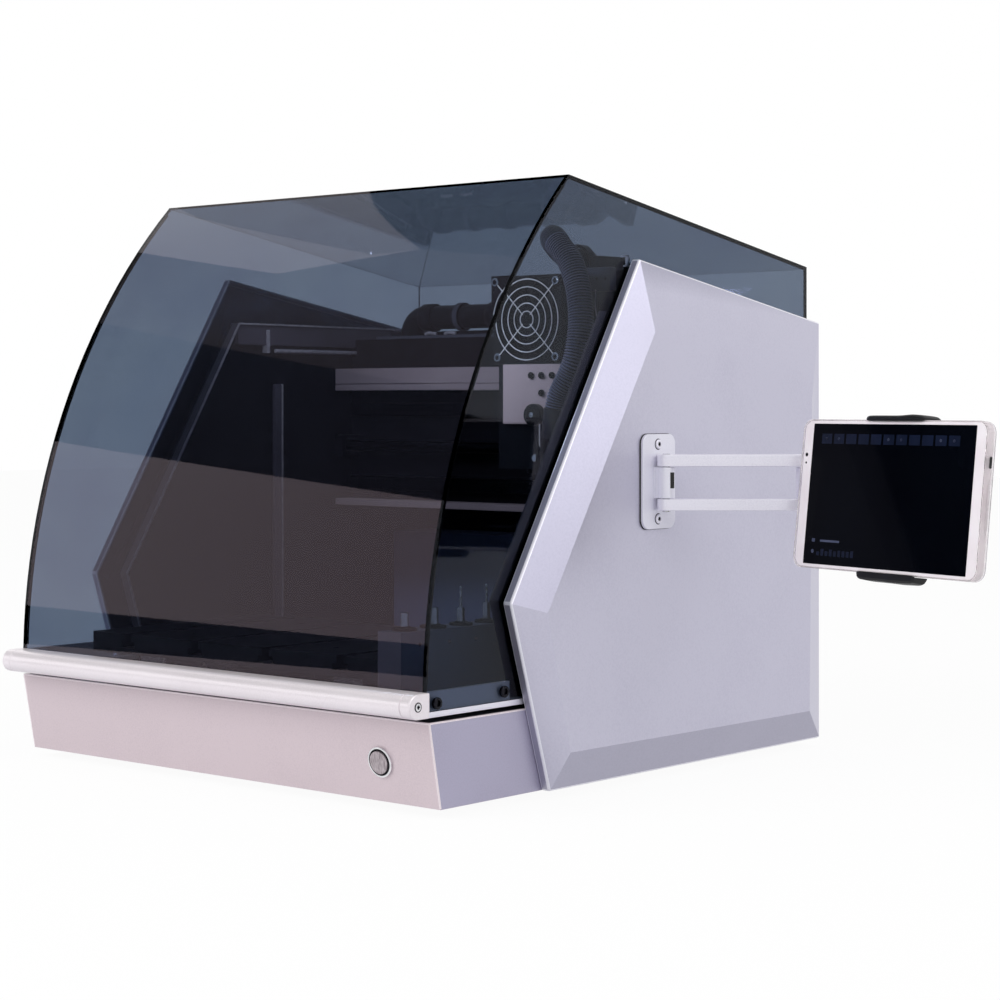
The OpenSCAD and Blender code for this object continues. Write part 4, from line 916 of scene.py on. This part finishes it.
# Folded edges of the inner walls with their bright inner line, and the small parts fixed to the walls
wall = {"line": ((115, 62), (91, 141), (220, 357), (428, 357)), "x": 204, "fold": 7.8, "trimWidth": 1.5,
        "trimIn": 1.3, "inner": 211.9, "edgeX": 210, "rodX": 207}
for side, word in ((-1, "Left"), (1, "Right")):
    # the trims are real, but the left wall's take pale bare metal, a painted highlight, and the right wall's dark
    # grey, painted shade
    trimLightAndShade = dullAluminium if side < 0 else greyCoat
    facingIn = (toBack, toTop, (-side, 0, 0))
    inner = (side * wall["inner"], 0, 0)
    faces, lines = [], []
    for (y0, z0), (y1, z1) in zip(wall["line"], wall["line"][1:]):
        length = hypot(y1 - y0, z1 - z0)
        ahead = Vector((0, (y1 - y0) / length, (z1 - z0) / length))
        outward = Vector((0, -ahead.z, ahead.y))
        low = Vector((side * wall["x"], y0, z0)) + outward * 0.05
        if z1 > z0:
            faces.append(plateShape([(0, 0), (length, 0), (length, 0.5), (0, 0.5)], low,
                                    (ahead, outward, (side, 0, 0)), wall["fold"]))
        if side < 0 or z1 > z0:  # the right wall's top stays bare, where the hose passes
            wide = wall["trimWidth"]
            lines.append(plateShape([(0, 0), (length, 0), (length, wide), (0, wide)],
                                    low - outward * wall["trimIn"], (ahead, outward, (-side, 0, 0)), wide))
    makePiece("wallFold" + word, faces, foldedFace, "frame", 0.1)
    makePiece("wallTrim" + word, lines, trimLightAndShade, "frame", 0.2)
    channel = roundedPlate((222, 338, 428, 355.5), 1.0, inner, facingIn, 5)
    makePiece("wallChannel" + word, [channel], foldedFace, "frame", 0.4)
    rod = turnedShape([(0, 1.9), (160, 1.9)], (side * wall["rodX"], 268, 333), toBack, 20)
    makePiece("wallRod" + word, [rod], trimLightAndShade, "frame", 0.3)
    post = roundedPlate((269, 62, 277, 303), 1.5, inner, facingIn, 4)
    makePiece("wallPost" + word, [post], foldedFace, "frame", 0.5)
    line = roundedPlate((277.2, 62, 278.4, 303), 0.5, (side * wall["edgeX"], 0, 0), facingIn, 2.5)
    makePiece("wallPostEdge" + word, [line], trimLightAndShade, "frame")
    clip = roundedPlate((256.4, 331, 259.6, 352), 0.6, inner, facingIn, 7)
    makePiece("wallClips" + word, [clip], dullAluminium, "frame", 0.3)
lip = plateShape([(-200, 348.8), (60, 348.8), (60, 353.2), (-200, 353.2)], (0, 413, 0), facingBack, 1.5)
makePiece("trayLip", [lip], blackCoat, "frame", 0.3)
print("wall trims made")

# Black sealing strip inside the cover, where the bent sheet meets the flat sides
seal = {"centre": (550, 70), "radius": 552, "cornerZ": 457.3, "insets": (3.05, 3.9),
        "across": (221.9, 222.95), "fromAngle": 0.03, "shortOfCorner": 0.015}  # the last two in radians


# A point of the cover's arc from its foot to its upper corner, set in by a distance
def coverLine(station, inset):
    centreY, centreZ = seal["centre"]
    cornerAngle = asin((seal["cornerZ"] - centreZ) / seal["radius"])
    first = seal["fromAngle"]
    angle = first + (cornerAngle - seal["shortOfCorner"] - first) * station
    reach = seal["radius"] - inset
    return centreY - reach * cos(angle), centreZ + reach * sin(angle)


seals = []
for side in (-1, 1):
    near, far = [side * x for x in seal["across"]]
    outer, inner = seal["insets"]
    section = ((near, outer), (far, outer), (far, inner), (near, inner))
    seals.append(skinOf([[(x, *coverLine(k / 60, inset)) for x, inset in section] for k in range(61)]))
makePiece("coverSeals", seals, blackPlastic, "lid")

# Small sensor box beside the fan, with its wire, and the catch on the cover's side
sensorSetup = {"corners": (139.2, 376.7, 164.6, 396.3), "front": 283.6, "depth": 8, "screwX": (150.5, 159.5),
               "screwZ": 387, "wireRadius": 0.5}
sensorFront = sensorSetup["front"]
sensor = roundedPlate(sensorSetup["corners"], 1.5, (0, sensorFront, 0), facingBack, sensorSetup["depth"])
makePiece("sensorBox", [sensor], slatePlastic, "z_head", 0.8)
holes = [turnedShape([(0, 1.1), (0.15, 1.0)], (x, sensorFront, sensorSetup["screwZ"]), toFront, 20)
         for x in sensorSetup["screwX"]]
makePiece("sensorScrews", holes, blackOxide, "z_head")
wire = smoothRoute([(149.8, 283.2, 378), (149.6, 282.8, 370), (150.2, 282.6, 362), (152.6, 282.4, 353),
                    (156, 283, 345), (159, 286, 336), (158, 292, 330), (150, 300, 326), (142, 308, 324)], 1.5)
makePiece("sensorWire", [sweptShape(wire, sensorSetup["wireRadius"], 10)], dullAluminium, "z_head")
catch = [blockShape((220.6, 230.6, 391.5), (222.9, 232.4, 400.5)),
         blockShape((216.5, 230.6, 399), (222.9, 232.4, 400.5)),
         blockShape((218.5, 230.6, 391.5), (222.9, 235, 392.8))]
makePiece("coverCatch", catch, satinArm, "lid", 0.2)

# Wire clip with its peg beside the hose socket, and the cable ends on the tray
clip = smoothRoute([(128.6, 237.5, 269), (128.6, 237.5, 258), (128.8, 237.5, 252.4), (130.2, 237.3, 251),
                    (138, 236, 251)], 1.0)
makePiece("hoseClip", [sweptShape(clip, 0.6, 8)], whiteWire, "z_head")
peg = turnedShape([(0, 2.0), (0.5, 2.4), (7.5, 2.4), (8, 2.0)], (133.6, 240, 262), toFloor, 24)
makePiece("clipPeg", [peg], slatePlastic, "z_head")
ends = [sweptShape(smoothRoute([(x, 384, 349.6), (x + 6, 383, 350.6), (x + 14, 384, 349.6)], 1.0), 1.5, 10)
        for x in (-128, -104)]
makePiece("cableEnds", ends, dullAluminium, "frame")
print("small parts made")

# Floor, light and white surround
studio = {"floorSize": 14, "floorDrop": 0.0002, "floorGlow": 0.94, "floorBounce": "#BFBFC8", "ambient": 0.62}


# One where the camera sees a thing, straight on, in a gloss or through acrylic, and nought where it lights
def seenShare(tree):
    rays = addNode(tree, "LightPath").outputs
    seen = addNode(tree, "Math", {"operation": "MAXIMUM"},
                   {0: rays["Is Camera Ray"], 1: rays["Is Glossy Ray"]})
    return addNode(tree, "Math", {"operation": "MAXIMUM"},
                   {0: seen.outputs[0], 1: rays["Is Transmission Ray"]}).outputs[0]


# A flat piece of the stage in metres, which isn't part of the object
def stageSheet(name, outlines, material):
    points, faces = [], []
    for outline in outlines:
        faces.append(tuple(range(len(points), len(points) + len(outline))))
        points += outline
    mesh = bpy.data.meshes.new(name)
    mesh.from_pydata(points, [], faces)
    mesh.materials.append(material)
    return addObject(name, mesh)


floorMaterial, tree, out = newMaterial("paleFloor")
seen = seenShare(tree)
share = addNode(tree, "Math", {"operation": "MULTIPLY", 1: studio["floorGlow"]}, {0: seen})
bounce = addNode(tree, "ValToRGB", links={"Fac": seen},
                 stops=((0, studio["floorBounce"]), (1, "#F4F4F4")))
matt = addNode(tree, "BsdfPrincipled", {"Roughness": 0.9, "Specular IOR Level": 0.1},
               {"Base Color": bounce.outputs["Color"]})
glow = addNode(tree, "Emission", {"Color": (1, 1, 1, 1), "Strength": 1.0})
mix = addNode(tree, "MixShader", links={0: share.outputs[0], 1: matt.outputs[0], 2: glow.outputs[0]})
tree.links.new(mix.outputs[0], out.inputs["Surface"])
half = studio["floorSize"] / 2
corners = [(-half, -half, 0), (half, -half, 0), (half, half, 0), (-half, half, 0)]
floor = stageSheet("floor", [corners], floorMaterial)
floor.location.z = cadBox[0].z - studio["floorDrop"]

world = bpy.data.worlds.new("paleStudio")
bpy.context.scene.world = world
world.use_nodes = True
tree = world.node_tree
tree.nodes.clear()
level = addNode(tree, "MapRange", {"To Min": studio["ambient"], "To Max": 1.0},
                {"Value": seenShare(tree)})
sky = addNode(tree, "Background", {"Color": (1, 1, 1, 1)}, {"Strength": level.outputs[0]})
addNode(tree, "OutputWorld", links={"Surface": sky.outputs[0]})

# Lamps in metres and watts. Those that are hidden leave no hard spot in what each entry names
lamps = {
    "frontSoftbox": {"place": (-0.8, -2.25, 1.6), "aim": (0, 0, 0.25), "size": (1.6, 1.6), "power": 41,
                     "hiddenFrom": ("glossy", "transmission")},
    "sideSoftbox": {"place": (2.4, 0.2, 1.7), "aim": (0, 0, 0.25), "size": (1.6, 1.6), "power": 20,
                    "hiddenFrom": ()},
    "cabinStrip": {"place": (-0.05, -0.09, 0.40), "aim": (0.04, 0.12, 0.28), "size": (0.24, 0.03), "power": 0.9,
                   "hiddenFrom": ("glossy", "camera")},
}
for name, lamp in lamps.items():
    light = bpy.data.lights.new(name, "AREA")
    light.shape = "RECTANGLE"
    light.size, light.size_y = lamp["size"]
    light.energy = lamp["power"]
    holder = addObject(name, light)
    holder.location = lamp["place"]
    holder.rotation_euler = (Vector(lamp["aim"]) - holder.location).to_track_quat("-Z", "Y").to_euler()
    for kind in lamp["hiddenFrom"]:
        setattr(holder, "visible_" + kind, False)

# Cards at the front left, which only glossy faces show: each has its brightness and outlines, along and up in m
cardSetup = {"distance": 2.3, "turn": 50}
cards = {
    "blackCard": (0.0, [[(-3, -0.01), (3, -0.01), (3, 0.17), (-3, 0.17)],
                        [(-3, 1.08), (3, 1.08), (3, 1.86), (-3, 1.9)],
                        [(-2.6, 4.0), (-1.1, 3.17), (-0.6, 3.4), (0.8, 3.4), (0.8, 6), (-2.6, 6)]]),
    "dimCard": (0.18, [[(-3, 1.9), (3, 1.86), (3, 3.4), (-0.6, 3.4), (-1.1, 3.17), (-1.0, 2.6), (-3, 2.25)]]),
    "greyCard": (0.6, [[(-3, 3.0), (-1.1, 3.0), (-1.1, 3.17), (-2.6, 4.0), (-3, 4.2)]]),
}
turn = radians(cardSetup["turn"])
centre = Vector((-sin(turn), -cos(turn), 0)) * cardSetup["distance"]
along = Vector((cos(turn), -sin(turn), 0))
for name, (brightness, outlines) in cards.items():
    cardMaterial, tree, out = newMaterial(name)
    lit = addNode(tree, "Emission", {"Color": (1, 1, 1, 1), "Strength": brightness})
    tree.links.new(lit.outputs[0], out.inputs["Surface"])
    outlines = [[centre + along * across + Vector((0, 0, up)) for across, up in outline] for outline in outlines]
    card = stageSheet(name, outlines, cardMaterial)
    card.visible_camera = card.visible_diffuse = card.visible_shadow = card.visible_transmission = False
print("stage lit")
